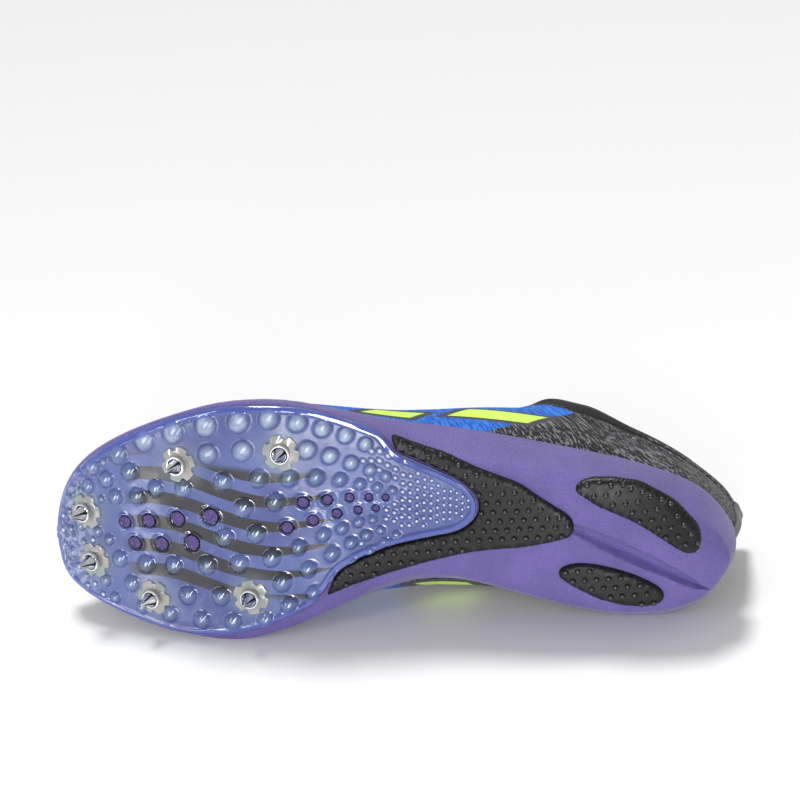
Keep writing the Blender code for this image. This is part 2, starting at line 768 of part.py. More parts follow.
def circle(radius, sides, start=0.0):
    return [(radius * math.cos(start + 2 * math.pi * i / sides),
             radius * math.sin(start + 2 * math.pi * i / sides)) for i in range(sides)]


def lobed(radius):
    points = []
    sides = RECEPTACLE_LOBES * 3
    for i in range(sides):
        angle = 2 * math.pi * i / sides
        reach = radius - LOBE_DEPTH * (1 - math.cos(RECEPTACLE_LOBES * angle)) / 2
        points.append((reach * math.cos(angle), reach * math.sin(angle)))
    return points


def make_spikes():
    amber = material("pale clear receptacle", (0.62, 0.60, 0.50), 0.20)
    chrome = material("polished steel", (0.78, 0.79, 0.80), 0.18, 1.0)
    for number, (share, across) in enumerate(SPIKE_ROWS, 1):
        x = share * LENGTH
        y = across * BALL_WIDTH
        facing = normal_at(x, y)
        turn = Vector((0, 0, 1)).rotation_difference(facing).to_matrix()
        seat = Vector((x, y, bottom_height(x, y))) + facing * (2 * GAP + PLATE_THICKNESS)
        radius = RECEPTACLE_DIAMETER / 2
        turned_rings(seat, turn, [(0.0, lobed(radius)),
                                  (RECEPTACLE_THICKNESS - RECEPTACLE_BEVEL, lobed(radius)),
                                  (RECEPTACLE_THICKNESS, lobed(radius - RECEPTACLE_BEVEL))],
                     "receptacle_%d" % number, amber)
        leaning = (facing + Vector((math.tan(SPIKE_LEAN), 0, 0))).normalized()
        turn = Vector((0, 0, 1)).rotation_difference(leaning).to_matrix()
        slack = FLANGE_DIAMETER / 2 * math.tan(SPIKE_LEAN)
        foot = seat + facing * (RECEPTACLE_THICKNESS + GAP + slack)
        flange = circle(FLANGE_DIAMETER / 2, SPIKE_SIDES)
        root = circle(SPIKE_ROOT / 2, SPIKE_SIDES)
        tip = circle(SPIKE_TIP / 2, SPIKE_SIDES)
        turned_rings(foot, turn, [(0.0, flange), (FLANGE_THICKNESS, flange),
                                  (FLANGE_THICKNESS, root), (SPIKE_LENGTH, tip)],
                     "spike_%d" % number, chrome)


def rib_curves(rows):
    turns = [turn_of(share) for share in column(rows, RIB_COLUMNS, "share")]
    sizes = {"x": LENGTH, "y": BALL_WIDTH, "z": INSTEP_HEIGHT, "lean": INSTEP_HEIGHT,
             "rise": INSTEP_HEIGHT, "spread": INSTEP_HEIGHT, "drop": INSTEP_HEIGHT}
    return {name: smooth_curve(turns, [size * v for v in column(rows, RIB_COLUMNS, name)])
            for name, size in sizes.items()}


class Upper:
    # The upper's outer and inner surface, as ribs that rise from the sole's seat
    # to the edge of the opening.
    def __init__(self):
        lateral = rib_curves(LATERAL_RIBS)
        medial = rib_curves(MEDIAL_RIBS)
        lip = sole_outline(1.0)
        self.feather = inset(lip, LIP_WIDTH + 2 * GAP + FEATHER_SLACK)
        drawn = inset(lip, 4 * LIP_WIDTH)
        self.ribs = []
        for i, (turn, is_lateral) in enumerate(rounds()):
            side = lateral if is_lateral else medial
            x, y = self.feather[i]
            out = Vector((x - drawn[i][0], y - drawn[i][1], 0)).normalized()
            foot = Vector((x, y, lip_height(x) + GAP))
            opening = Vector((side["x"](turn), side["y"](turn), side["z"](turn)))
            flat = Vector((foot.x - opening.x, foot.y - opening.y, 0))
            away = flat.normalized() if flat.length > 0.004 else out
            lead_off = foot + out * side["lean"](turn) + Vector((0, 0, side["rise"](turn)))
            lead_in = opening + away * side["spread"](turn) - Vector((0, 0, side["drop"](turn)))
            self.ribs.append((foot, lead_off, lead_in, opening))
        self.steps = list(RIB_STEPS) + [BINDING_FROM, BINDING_FROM + BINDING_SLOPE, 1.0]

    def on_rib(self, i, t):
        a, b, c, d = self.ribs[i]
        s = 1 - t
        return a * s ** 3 + b * (3 * s * s * t) + c * (3 * s * t * t) + d * t ** 3

    def normal(self, i, t):
        step = 0.02
        up = self.on_rib(i, min(1.0, t + step)) - self.on_rib(i, max(0.0, t - step))
        j, k = (i + 1) % AROUND, (i - 1) % AROUND
        along = self.on_rib(j, t) - self.on_rib(k, t)
        facing = up.cross(along)
        return facing.normalized()

    def outer(self, i, t):
        proud = BINDING_STEP if t > BINDING_FROM else 0.0
        return self.on_rib(i, t) + self.normal(i, t) * proud

    def inner(self, i, t, extra=0.0):
        return self.on_rib(i, t) - self.normal(i, t) * (UPPER_WALL + extra)

    def above(self, place, t, height):
        # A point over the outer surface, between two ribs.
        i = math.floor(place)
        sides = [self.outer(k, t) + self.normal(k, t) * height for k in (i, i + 1)]
        return sides[0].lerp(sides[1], place - i)

    def base(self, inward):
        # The wall's straight foot, which stands inside the midsole's lip.
        points = inset(self.feather, inward)
        return raised(points, lambda x, y: seat_height(x, y) + GAP)


def make_upper(upper):
    knit = material("dark heathered knit", (0.035, 0.037, 0.042), 0.85)
    rings = [upper.base(0.0)]
    rings += [[upper.outer(i, t) for i in range(AROUND)] for t in upper.steps]
    rings += [[upper.inner(i, t) for i in range(AROUND)] for t in LINING_STEPS]
    rings.append(upper.base(UPPER_WALL))
    bm = bmesh.new()
    loops = [[bm.verts.new(point) for point in ring] for ring in rings]
    for one, two in zip(loops, loops[1:] + loops[:1]):
        for i in range(AROUND):
            j = (i + 1) % AROUND
            bm.faces.new((one[i], one[j], two[j], two[i]))
    return finish(bm, "upper", knit)


def insole_low(x, y):
    return seat_height(x, y) + INSOLE_GAP


def insole_side(x, y):
    return insole_low(x, y) + INSOLE_THICKNESS - INSOLE_ROUND


def insole_high(x, y):
    return insole_low(x, y) + INSOLE_THICKNESS


def make_insole():
    grey = material("insole cloth", (0.05, 0.05, 0.055), 0.9)
    outline = inset(sole_outline(1.0), LIP_WIDTH + UPPER_WALL + 5 * GAP)
    drawn = inset(outline, INSOLE_ROUND)
    rings = [raised(shrink(outline, share), insole_low) for share in (0.10, 0.60, 1.0)]
    rings.append(raised(outline, insole_side))
    rings += [raised(shrink(drawn, share), insole_high) for share in (1.0, 0.60, 0.10)]
    return stacked("insole", rings, grey)


def tongue_rows(upper):
    # Rows of points over the tongue's face, from its free top to its front end.
    # Each row runs from the lateral tucked edge to the medial one.
    first = next(i for i in range(AROUND) if upper.ribs[i][3].x > TONGUE_FROM * LENGTH)
    rows = []
    for i in range(first, TONGUE_LAST_RIB + 1):
        j = AROUND - i
        left = upper.inner(i, 1.0, TONGUE_GAP)
        right = upper.inner(j, 1.0, TONGUE_GAP)
        rise = TONGUE_CROWN if i < TONGUE_LAST_RIB else -TONGUE_DIP
        middle = []
        for step in range(5):
            t = step / 4
            middle.append(left.lerp(right, t) + Vector((0, 0, rise * 4 * t * (1 - t))))
        rows.append([upper.inner(i, TONGUE_TUCK, TONGUE_GAP)] + middle
                    + [upper.inner(j, TONGUE_TUCK, TONGUE_GAP)])
    rows.append([upper.inner(i, t, TONGUE_DIP) for i, t in TONGUE_FRONT])
    centre = rows[0][len(rows[0]) // 2]
    free = []
    for reach in (1.0, 0.7, 0.35):
        narrow = 1 - (1 - TONGUE_TAPER) * reach
        row = [centre + TONGUE_TIP * reach + (p - centre) * narrow for p in rows[0]]
        row[0] = row[1] + Vector((0, TONGUE_FLAP, -TONGUE_FLAP / 2))
        row[-1] = row[-2] - Vector((0, TONGUE_FLAP, TONGUE_FLAP / 2))
        free.append(row)
    return free + rows


def make_tongue(upper):
    # A padded sheet whose side edges are tucked under the eyestays.
    cloth = material("tongue cloth", (0.03, 0.03, 0.034), 0.9)
    rows = tongue_rows(upper)
    wide = len(rows[0])
    bm = bmesh.new()
    top = []
    under = []
    for r, row in enumerate(rows):
        top.append([bm.verts.new(point) for point in row])
        line = []
        for c, point in enumerate(row):
            along = rows[min(r + 1, len(rows) - 1)][c] - rows[max(r - 1, 0)][c]
            across = row[min(c + 1, wide - 1)] - row[max(c - 1, 0)]
            facing = along.cross(across).normalized()
            thin = TONGUE_EDGE if c in (0, wide - 1) else 1.0
            line.append(bm.verts.new(point + facing * TONGUE_THICKNESS * thin))
        under.append(line)
    for r in range(len(rows) - 1):
        for grid in (top, under):
            for c in range(wide - 1):
                bm.faces.new((grid[r][c], grid[r][c + 1], grid[r + 1][c + 1], grid[r + 1][c]))
        for c in (0, wide - 1):
            bm.faces.new((top[r][c], top[r + 1][c], under[r + 1][c], under[r][c]))
    for c in range(wide - 1):
        for r in (0, len(rows) - 1):
            bm.faces.new((top[r][c], top[r][c + 1], under[r][c + 1], under[r][c]))
    return finish(bm, "tongue", cloth)


def make_laces(upper):
    # Bars of the lace from one eyestay over the tongue to the other.
    white = material("lace cord", (0.60, 0.62, 0.60), 0.8)
    for number, (share, clearance) in enumerate(LACE_ROWS, 1):
        place = turn_of(share) / (2 * math.pi) * AROUND
        start = upper.above(place, LACE_HEM, LACE_RADIUS + clearance)
        end = upper.above(AROUND - place, LACE_HEM, LACE_RADIUS + clearance)
        points = []
        for step in range(LACE_STEPS + 1):
            t = step / LACE_STEPS
            crown = Vector((0, 0, LACE_CROWN * (4 * t * (1 - t)) ** 0.6))
            points.append(start.lerp(end, t) + crown)
        curve = bpy.data.curves.new("lace_bar_%d" % number, "CURVE")
        curve.dimensions = "3D"
        curve.bevel_depth = LACE_RADIUS
        curve.bevel_resolution = 2
        curve.use_fill_caps = True
        spline = curve.splines.new("POLY")
        spline.points.add(len(points) - 1)
        for knot, point in zip(spline.points, points):
            knot.co = (*point, 1.0)
        curve.materials.append(white)
        bar = bpy.data.objects.new("lace_bar_%d" % number, curve)
        bpy.context.collection.objects.link(bar)


def lowest(points, normal):
    return min(points, key=lambda p: p.dot(normal))


def resting_turn(midsole, upper_piece):
    # The way up in which the sole's edge at the ball and heel and the upper's
    # medial side all touch one plane.
    sole = [v.co.copy() for v in midsole.data.vertices]
    ball = [p for p in sole if p.x > 0.55 * LENGTH]
    heel = [p for p in sole if p.x < 0.35 * LENGTH]
    cloth = [v.co.copy() for v in upper_piece.data.vertices]
    up = Vector((0.08, 1.0, -0.15)).normalized()
    for _ in range(40):
        a, b, c = lowest(ball, up), lowest(heel, up), lowest(cloth, up)
        facing = (b - a).cross(c - a).normalized()
        up = facing if facing.y > 0 else -facing
    return up, lowest(ball, up).dot(up)


def set_down(up, floor):
    # Sole towards -Y, toe towards -X, lateral side up, flats cut on the floor.
    along = (Vector((1, 0, 0)) - up * up.x).normalized()
    depth = (-along).cross(up) * -1
    turn = Matrix((-along, depth, up)).to_4x4()
    corners = []
    for piece in bpy.context.collection.objects:
        if piece.type == "MESH" and not piece.hide_render:
            corners += [turn @ v.co for v in piece.data.vertices]
    low = [min(c[k] for c in corners) for k in range(3)]
    high = [max(c[k] for c in corners) for k in range(3)]
    place = Matrix.Translation((-(low[0] + high[0]) / 2, -(low[1] + high[1]) / 2,
                                -floor - FLAT_DEPTH))
    for piece in bpy.context.collection.objects:
        piece.matrix_world = place @ turn
    bpy.context.view_layer.update()
    bm = bmesh.new()
    bmesh.ops.create_cube(bm, size=1.0)
    bmesh.ops.scale(bm, vec=FLOOR_BOX, verts=bm.verts)
    bmesh.ops.translate(bm, vec=(0, 0, -FLOOR_BOX.z / 2), verts=bm.verts)
    return finish(bm, "floor_cutter", material("floor", (0.5, 0.5, 0.5), 0.5), False)


def build():
    for piece in list(bpy.data.objects):
        bpy.data.objects.remove(piece)
    midsole = make_midsole()
    make_plate(plate_outline())
    make_rubber()
    make_spikes()
    upper = Upper()
    upper_piece = make_upper(upper)
    make_insole()
    make_tongue(upper)
    make_laces(upper)
    up, floor = resting_turn(midsole, upper_piece)
    floor_box = set_down(up, floor)
    cut(midsole, floor_box)
    cut(upper_piece, floor_box)


build()
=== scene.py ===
import math
import random

import bmesh
import bpy
import numpy as np
from mathutils import Matrix, Vector, noise
from mathutils.bvhtree import BVHTree


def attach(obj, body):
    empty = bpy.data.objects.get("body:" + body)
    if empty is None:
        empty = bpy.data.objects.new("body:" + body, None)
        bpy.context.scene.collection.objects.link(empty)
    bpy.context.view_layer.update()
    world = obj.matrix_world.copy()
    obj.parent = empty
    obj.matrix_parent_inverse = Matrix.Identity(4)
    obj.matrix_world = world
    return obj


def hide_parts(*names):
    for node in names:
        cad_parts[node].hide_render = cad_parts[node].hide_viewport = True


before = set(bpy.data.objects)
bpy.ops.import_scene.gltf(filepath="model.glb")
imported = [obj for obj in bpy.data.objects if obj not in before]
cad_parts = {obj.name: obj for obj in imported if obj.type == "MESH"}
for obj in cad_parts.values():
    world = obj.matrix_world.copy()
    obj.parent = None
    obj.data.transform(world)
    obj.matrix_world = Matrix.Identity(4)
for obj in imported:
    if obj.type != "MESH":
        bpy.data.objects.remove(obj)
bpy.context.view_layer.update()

# The look of a left track spike shoe that lies on its side with its sole to the camera.

# The shoe's own frame in the row frame: x heel to toe, y to the lateral side, z from
# the sole to the ankle, in metres.
SHOE = Matrix((
    (-0.99643, 0.08349, -0.01227, 0.14265),
    (0.00000, 0.14542, 0.98937, -0.04049),
    (0.08439, 0.98584, -0.14490, 0.03612),
    (0.00000, 0.00000, 0.00000, 1.00000),
))
UNSHOE = SHOE.inverted()
LENGTH = 0.285
BALL_WIDTH = 0.104
INSTEP_HEIGHT = 0.086
PLATE_FACE = 0.0017        # how far the plate's face lies below the foam
RUBBER_FACE = 0.0021       # the same for the midfoot rubber
POD_FACE = 0.0023          # and for the heel pods

# The six spikes: shares of LENGTH from the heel and of BALL_WIDTH to the lateral side.
SPIKE_ROWS = (
    (0.787, 0.207),
    (0.937, -0.065),
    (0.924, -0.265),
    (0.827, -0.369),
    (0.638, 0.300),
    (0.679, -0.304),
)
SPIKES = [(share * LENGTH, across * BALL_WIDTH) for share, across in SPIKE_ROWS]


# Camera, lights and floor

CAMERA_POSE = Matrix((
    (0.98564, 0.00823, 0.16865, 0.13715),
    (0.14952, 0.42151, -0.89441, -0.69024),
    (-0.07845, 0.90679, 0.41422, 0.40768),
    (0.00000, 0.00000, 0.00000, 1.00000),
))


def make_camera():
    data = bpy.data.cameras.new("camera")
    data.lens = 85
    data.sensor_width = 36
    camera = bpy.data.objects.new("camera", data)
    bpy.context.scene.collection.objects.link(camera)
    camera.matrix_world = CAMERA_POSE
    bpy.context.scene.camera = camera


def make_strip(name, place, aim, size, power, roll):
    # A strip lamp that the camera itself doesn't see; roll turns it about its aim.
    data = bpy.data.lights.new(name, "AREA")
    data.shape = "RECTANGLE"
    data.size, data.size_y = size
    data.energy = power
    lamp = bpy.data.objects.new(name, data)
    bpy.context.scene.collection.objects.link(lamp)
    lamp.location = place
    facing = (Vector(aim) - Vector(place)).to_track_quat("-Z", "Y").to_matrix()
    lamp.rotation_euler = (facing @ Matrix.Rotation(roll, 3, "Z")).to_euler()
    lamp.visible_camera = False


def make_sun(name, place, strength, width):
    # A sun whose light comes from place and is as wide as the given angle.
    data = bpy.data.lights.new(name, "SUN")
    data.energy = strength
    data.angle = width
    lamp = bpy.data.objects.new(name, data)
    bpy.context.scene.collection.objects.link(lamp)
    lamp.rotation_euler = (-Vector(place)).to_track_quat("-Z", "Y").to_euler()


def make_stage():
    # Even daylight from all round, a soft sun above, two narrow strips for the lights on
    # the plastic, and a pale floor.
    world = bpy.data.worlds.new("studio")
    bpy.context.scene.world = world
    world.use_nodes = True
    back = world.node_tree.nodes["Background"]
    back.inputs["Color"].default_value = (1.0, 0.995, 0.99, 1)
    back.inputs["Strength"].default_value = 0.46
    bpy.context.scene.view_settings.view_transform = "Standard"
    make_sun("overhead", (-0.20, 0.30, 1.0), 2.40, math.radians(16))
    make_strip("front_strip", (0.10, -1.05, 0.30), (0, 0, 0.05), (0.110, 0.90), 7.4,
               math.radians(-30))
    make_strip("toe_strip", (-0.75, -0.75, 0.35), (-0.08, 0, 0.05), (0.05, 0.60), 2.4,
               math.radians(-20))
    bpy.ops.mesh.primitive_plane_add(size=14, location=(0, 0, 0))
    floor = bpy.context.object
    floor.name = "floor"
    paint = Paint("floor_sheet", (0.82, 0.82, 0.82), 0.32)
    paint.set("Specular IOR Level", 0.35)
    floor.data.materials.append(paint.material)


# Materials

class Paint:
    # A Principled material and short calls for the nodes that feed it.
    def __init__(self, name, colour, rough, metal=0.0):
        self.material = bpy.data.materials.new(name)
        self.material.use_nodes = True
        self.tree = self.material.node_tree
        self.shader = self.tree.nodes["Principled BSDF"]
        self.set("Base Color", (*colour, 1))
        self.set("Roughness", rough)
        self.set("Metallic", metal)
        self.material.diffuse_color = (*colour, 1)
        self.spots = {}

    def set(self, socket, value):
        self.shader.inputs[socket].default_value = value

    def join(self, source, socket):
        self.tree.links.new(source, self.shader.inputs[socket])

    def node(self, kind, **values):
        made = self.tree.nodes.new(kind)
        for key, value in values.items():
            setattr(made, key, value)
        return made

    def feed(self, target, value):
        if hasattr(value, "links"):
            self.tree.links.new(value, target)
        elif isinstance(value, tuple) and len(value) == 3 and len(target.default_value) == 4:
            target.default_value = (*value, 1)
        else:
            target.default_value = value

    def mapped(self, vector, turn=(0, 0, 0), scale=(1, 1, 1), place=(0, 0, 0)):
        made = self.node("ShaderNodeMapping")
        made.inputs["Rotation"].default_value = turn
        made.inputs["Scale"].default_value = scale
        made.inputs["Location"].default_value = place
        self.feed(made.inputs["Vector"], vector)
        return made.outputs["Vector"]

    def spot(self, scale=(1, 1, 1), turn=(0, 0, 0)):
        # Object coordinates brought into the shoe's frame, in millimetres, then turned
        # and scaled.
        if "shoe" not in self.spots:
            own = self.node("ShaderNodeTexCoord").outputs["Object"]
            self.spots["shoe"] = self.mapped(own, UNSHOE.to_3x3().to_euler("XYZ"), (1000, 1000, 1000),
                                             UNSHOE.translation * 1000)
        key = (scale, turn)
        if key not in self.spots:
            self.spots[key] = self.mapped(self.mapped(self.spots["shoe"], turn), scale=scale)
        return self.spots[key]

    def axes(self, vector):
        parts = self.node("ShaderNodeSeparateXYZ")
        self.feed(parts.inputs[0], vector)
        return parts.outputs[0], parts.outputs[1], parts.outputs[2]

    def sums(self, operation, a, b=0.0):
        made = self.node("ShaderNodeMath", operation=operation)
        self.feed(made.inputs[0], a)
        self.feed(made.inputs[1], b)
        return made.outputs[0]

    def plus(self, a, b):
        return self.sums("ADD", a, b)

    def less(self, a, b):
        return self.sums("SUBTRACT", a, b)

    def times(self, a, b, *others):
        product = self.sums("MULTIPLY", a, b)
        for other in others:
            product = self.sums("MULTIPLY", product, other)
        return product

    def more_of(self, a, b):
        return self.sums("MAXIMUM", a, b)

    def between(self, value, low, high, to_low=0.0, to_high=1.0):
        # A soft step from to_low at low to to_high at high.
        made = self.node("ShaderNodeMapRange", interpolation_type="SMOOTHSTEP")
        self.feed(made.inputs["Value"], value)
        self.feed(made.inputs["From Min"], low)
        self.feed(made.inputs["From Max"], high)
        self.feed(made.inputs["To Min"], to_low)
        self.feed(made.inputs["To Max"], to_high)
        return made.outputs["Result"]

    def noise(self, vector, scale, detail=2.0, rough=0.5):
        made = self.node("ShaderNodeTexNoise")
        self.feed(made.inputs["Vector"], vector)
        made.inputs["Scale"].default_value = scale
        made.inputs["Detail"].default_value = detail
        made.inputs["Roughness"].default_value = rough
        return made.outputs["Fac"]

    def mix(self, share, one, two):
        made = self.node("ShaderNodeMix", data_type="RGBA")
        self.feed(made.inputs["Factor"], share)
        self.feed(made.inputs[6], one)
        self.feed(made.inputs[7], two)
        return made.outputs[2]

    def bump(self, height, strength, distance, before=None):
        made = self.node("ShaderNodeBump")
        made.inputs["Strength"].default_value = strength
        made.inputs["Distance"].default_value = distance
        self.feed(made.inputs["Height"], height)
        if before is not None:
            self.feed(made.inputs["Normal"], before)
        self.join(made.outputs["Normal"], "Normal")
        return made.outputs["Normal"]

    def attribute(self, name):
        return self.node("ShaderNodeAttribute", attribute_name=name).outputs["Fac"]


def foam_material():
    # Lavender foam with a fine moulded grain and a few paler specks.
    paint = Paint("lavender_foam", (0.21, 0.16, 0.50), 0.58)
    mm = paint.spot()
    cloud = paint.noise(mm, 0.05, 3)
    speck = paint.noise(mm, 2.6, 2)
    colour = paint.mix(paint.between(cloud, 0.3, 0.7), (0.095, 0.069, 0.262), (0.118, 0.087, 0.310))
    colour = paint.mix(paint.between(speck, 0.48, 0.76, 0, 0.42), colour, (0.26, 0.21, 0.54))
    paint.join(colour, "Base Color")
    paint.join(paint.between(speck, 0.3, 0.7, 0.50, 0.66), "Roughness")
    coarse = paint.bump(paint.noise(mm, 1.0, 3), 0.7, 0.0008)
    paint.bump(paint.noise(mm, 2.6, 2), 0.7, 0.00028, coarse)
    paint.set("Sheen Weight", 0.2)
    paint.set("Sheen Roughness", 0.4)
    return paint.material


def rubber_material(name, coat):
    # Black rubber, dusty in places. The coat is what makes the tread's bumps shine.
    paint = Paint(name, (0.010, 0.010, 0.011), 0.36)
    mm = paint.spot()
    dust = paint.noise(mm, 0.5, 3)
    colour = paint.mix(paint.between(dust, 0.45, 0.8), (0.007, 0.007, 0.008), (0.017, 0.017, 0.019))
    paint.join(colour, "Base Color")
    paint.join(paint.between(dust, 0.3, 0.7, 0.28, 0.42), "Roughness")
    paint.bump(paint.noise(mm, 3.0, 3), 0.35, 0.00015)
    paint.set("Specular IOR Level", 0.26)
    paint.set("Coat Weight", coat)
    paint.set("Coat Roughness", 0.14)
    return paint.material


def plate_ripples(paint, x, y):
    # Dark wavy ripples under the ball: broad towards the toe, thin towards the arch.
    swing = paint.sums("SINE", paint.times(x, 0.075))
    row = paint.plus(y, paint.times(swing, 3.2))
    stripe = paint.sums("SINE", paint.times(row, 0.60))
    thinner = paint.between(x, 150.0, 206.0, 1.10, -0.15)
    band = paint.between(paint.less(stripe, thinner), -0.05, 0.10)
    inside = paint.times(paint.between(x, 252.0, 240.0), paint.between(x, 150.0, 160.0))
    waist = paint.times(paint.between(y, 25.0, 21.0), paint.between(y, -33.0, -29.0))
    return paint.times(inside, waist, band)


def plate_haze(paint, x, y):
    # How near a spot is to one of the six receptacles.
    haze = 0.0
    for spike_x, spike_y in SPIKES:
        dx = paint.less(x, spike_x * 1000)
        dy = paint.less(y, spike_y * 1000)
        away = paint.sums("SQRT", paint.plus(paint.times(dx, dx), paint.times(dy, dy)))
        haze = paint.more_of(haze, paint.between(away, 14.0, 6.0))
    return haze


def plate_material():
    # Clear periwinkle plastic over the foam, on a moulded face that is never quite flat.
    paint = Paint("clear_plate", (0.17, 0.22, 0.62), 0.10)
    mm = paint.spot()
    x, y = paint.axes(mm)[:2]
    broad = paint.noise(mm, 0.035, 2)
    fine = paint.noise(mm, 0.16, 3)
    colour = paint.mix(paint.between(broad, 0.35, 0.65), (0.046, 0.064, 0.225), (0.074, 0.104, 0.305))
    colour = paint.mix(paint.between(fine, 0.52, 0.74, 0, 0.26), colour, (0.15, 0.21, 0.42))
    colour = paint.mix(paint.times(plate_ripples(paint, x, y), 0.97), colour, (0.006, 0.006, 0.007))
    colour = paint.mix(paint.times(plate_haze(paint, x, y), 0.30), colour, (0.20, 0.25, 0.28))
    # milky patches at the tip of the toe
    toe = paint.between(x, 258.0, 274.0)
    milky = paint.between(paint.noise(mm, 0.30, 3, 0.6), 0.45, 0.62, 0, 0.55)
    colour = paint.mix(paint.times(toe, milky), colour, (0.42, 0.48, 0.68))
    # each stud has a darker foot painted as shade and a paler crown painted as light scattered in the
    # plastic, cloudy along the lateral edge
    dome = paint.attribute("dome")
    painted_foot_shade = paint.times(paint.between(dome, 0.02, 0.16), paint.between(dome, 0.50, 0.22))
    colour = paint.mix(paint.times(painted_foot_shade, 0.28), colour, (0.022, 0.036, 0.125))
    colour = paint.mix(paint.between(dome, 0.15, 1.05, 0, 0.44), colour, (0.125, 0.190, 0.290))
    patchy = paint.between(paint.noise(mm, 0.22, 2), 0.35, 0.65, 0.35, 0.85)
    cloudy = paint.times(paint.between(dome, 0.15, 0.95), paint.between(y, 20.0, 33.0), patchy)
    colour = paint.mix(cloudy, colour, (0.36, 0.43, 0.55))
    # a painted highlight streak on each stud, pale towards white
    painted_glint = paint.between(paint.attribute("painted_glint"), 0.05, 0.75, 0, 0.80)
    colour = paint.mix(painted_glint, colour, (0.55, 0.64, 0.80))
    rim = paint.attribute("rim")
    colour = paint.mix(paint.between(rim, 0.1, 1.0, 0, 0.6), colour, (0.055, 0.080, 0.36))
    # each well is painted dark round its foam disc, as painted shade in the recess
    well = paint.attribute("well")
    colour = paint.mix(paint.between(well, 0.15, 0.7, 0, 0.92), colour, (0.010, 0.010, 0.030))
    paint.join(colour, "Base Color")
    waves = paint.bump(paint.noise(mm, 0.20, 3), 0.35, 0.0012)
    paint.bump(paint.times(toe, paint.noise(mm, 0.55, 2)), 0.8, 0.0012, waves)
    # the coat is frosted towards the lateral edge and clear on the rim
    frosted = paint.times(paint.between(y, 12.0, 24.0, 0.03, 0.34), paint.between(rim, 0.5, 0.1))
    paint.join(paint.more_of(frosted, 0.03), "Coat Roughness")
    paint.set("Coat Weight", 1.0)
    paint.set("Coat IOR", 1.7)
    paint.set("Specular IOR Level", 0.05)
    paint.set("Subsurface Weight", 0.04)
    paint.set("Subsurface Radius", (0.002, 0.003, 0.006))
    paint.set("Subsurface Scale", 1.0)
    return paint.material


def receptacle_material():
    # Milky clear plastic with a faint green and pink cast.
    paint = Paint("pale_receptacle", (0.30, 0.34, 0.33), 0.20)
    mm = paint.spot()
    tone = paint.noise(mm, 0.16, 2)
    colour = paint.mix(paint.between(tone, 0.38, 0.60), (0.230, 0.270, 0.262), (0.320, 0.300, 0.285))
    paint.join(colour, "Base Color")
    paint.bump(paint.noise(mm, 0.35, 2), 0.3, 0.0006)
    paint.set("Coat Weight", 1.0)
    paint.set("Coat Roughness", 0.06)
    return paint.material


def window_material():
    # Purple foam crumbs seen through a window.
    paint = Paint("foam_window", (0.16, 0.10, 0.40), 0.7)
    mm = paint.spot()
    speck = paint.noise(mm, 2.4, 2)
    colour = paint.mix(paint.between(speck, 0.40, 0.65), (0.030, 0.018, 0.090), (0.150, 0.098, 0.330))
    paint.join(colour, "Base Color")
    paint.bump(speck, 0.8, 0.0004)
    return paint.material


def steel_material():
    # Plated steel, with painted dark reflections on alternate facets of the point and painted shade in the
    # flange's sunk ring.
    paint = Paint("plated_steel", (0.72, 0.73, 0.75), 0.12, 1.0)
    mm = paint.spot()
    stain = paint.noise(mm, 0.5, 2)
    bright = paint.mix(paint.between(stain, 0.35, 0.65), (0.78, 0.79, 0.81), (0.95, 0.96, 0.97))
    # alternate facets are painted dark as reflections, and the flange's sunk ring is painted dark as shade
    painted_facet_tone = paint.between(paint.attribute("painted_facet_tone"), 0.08, 0.26)
    paint.join(paint.mix(painted_facet_tone, (0.045, 0.050, 0.055), bright), "Base Color")
    paint.join(paint.between(paint.noise(mm, 1.2, 3), 0.3, 0.7, 0.06, 0.18), "Roughness")
    paint.bump(paint.noise(mm, 1.5, 2), 0.04, 0.0001)
    return paint.material


def lime_band(paint, colour, x, y, rise, band):
    # A slanted lime patch with a grey edge, on one side of the shoe.
    low, high, base, tall, side = band
    facing = paint.between(paint.times(y, side), -2.0, 2.0)
    along = paint.plus(x, paint.times(rise, BAND_SLANT))

    def patch(reach, lift):
        # Grown by reach along and by lift up and down, with soft edges.
        first, past = low - reach, high + reach
        foot, top = base - lift, base + tall + lift
        return paint.times(
            paint.between(along, first - 0.6, first + 0.6),
            paint.between(along, past + 0.6, past - 0.6),
            paint.between(rise, foot - 0.0003, foot + 0.0003),
            paint.between(rise, top + 0.0003, top - 0.0003),
            facing)

    colour = paint.mix(patch(4.0, 0.0024), colour, (0.055, 0.058, 0.066))
    return paint.mix(patch(0.0, 0.0), colour, (0.64, 0.92, 0.13))


def blue_zone(paint, mm, x, y, rise):
    # Over the vamp and midfoot, above a line that climbs to the heel; on the medial side
    # only in front of the arch, and not on the toe cap.
    line = paint.between(x, 48.0, 116.0, 0.054, 0.000)
    wobble = paint.times(paint.noise(mm, 0.25, 2), 0.004)
    above = paint.between(paint.plus(paint.less(rise, line), wobble), 0.001, 0.0035)
    toe_cap = paint.between(x, 246.0, 236.0)
    ahead = paint.more_of(paint.between(y, -9.0, -4.0), paint.between(x, 132.0, 142.0))
    return paint.times(above, toe_cap, ahead)


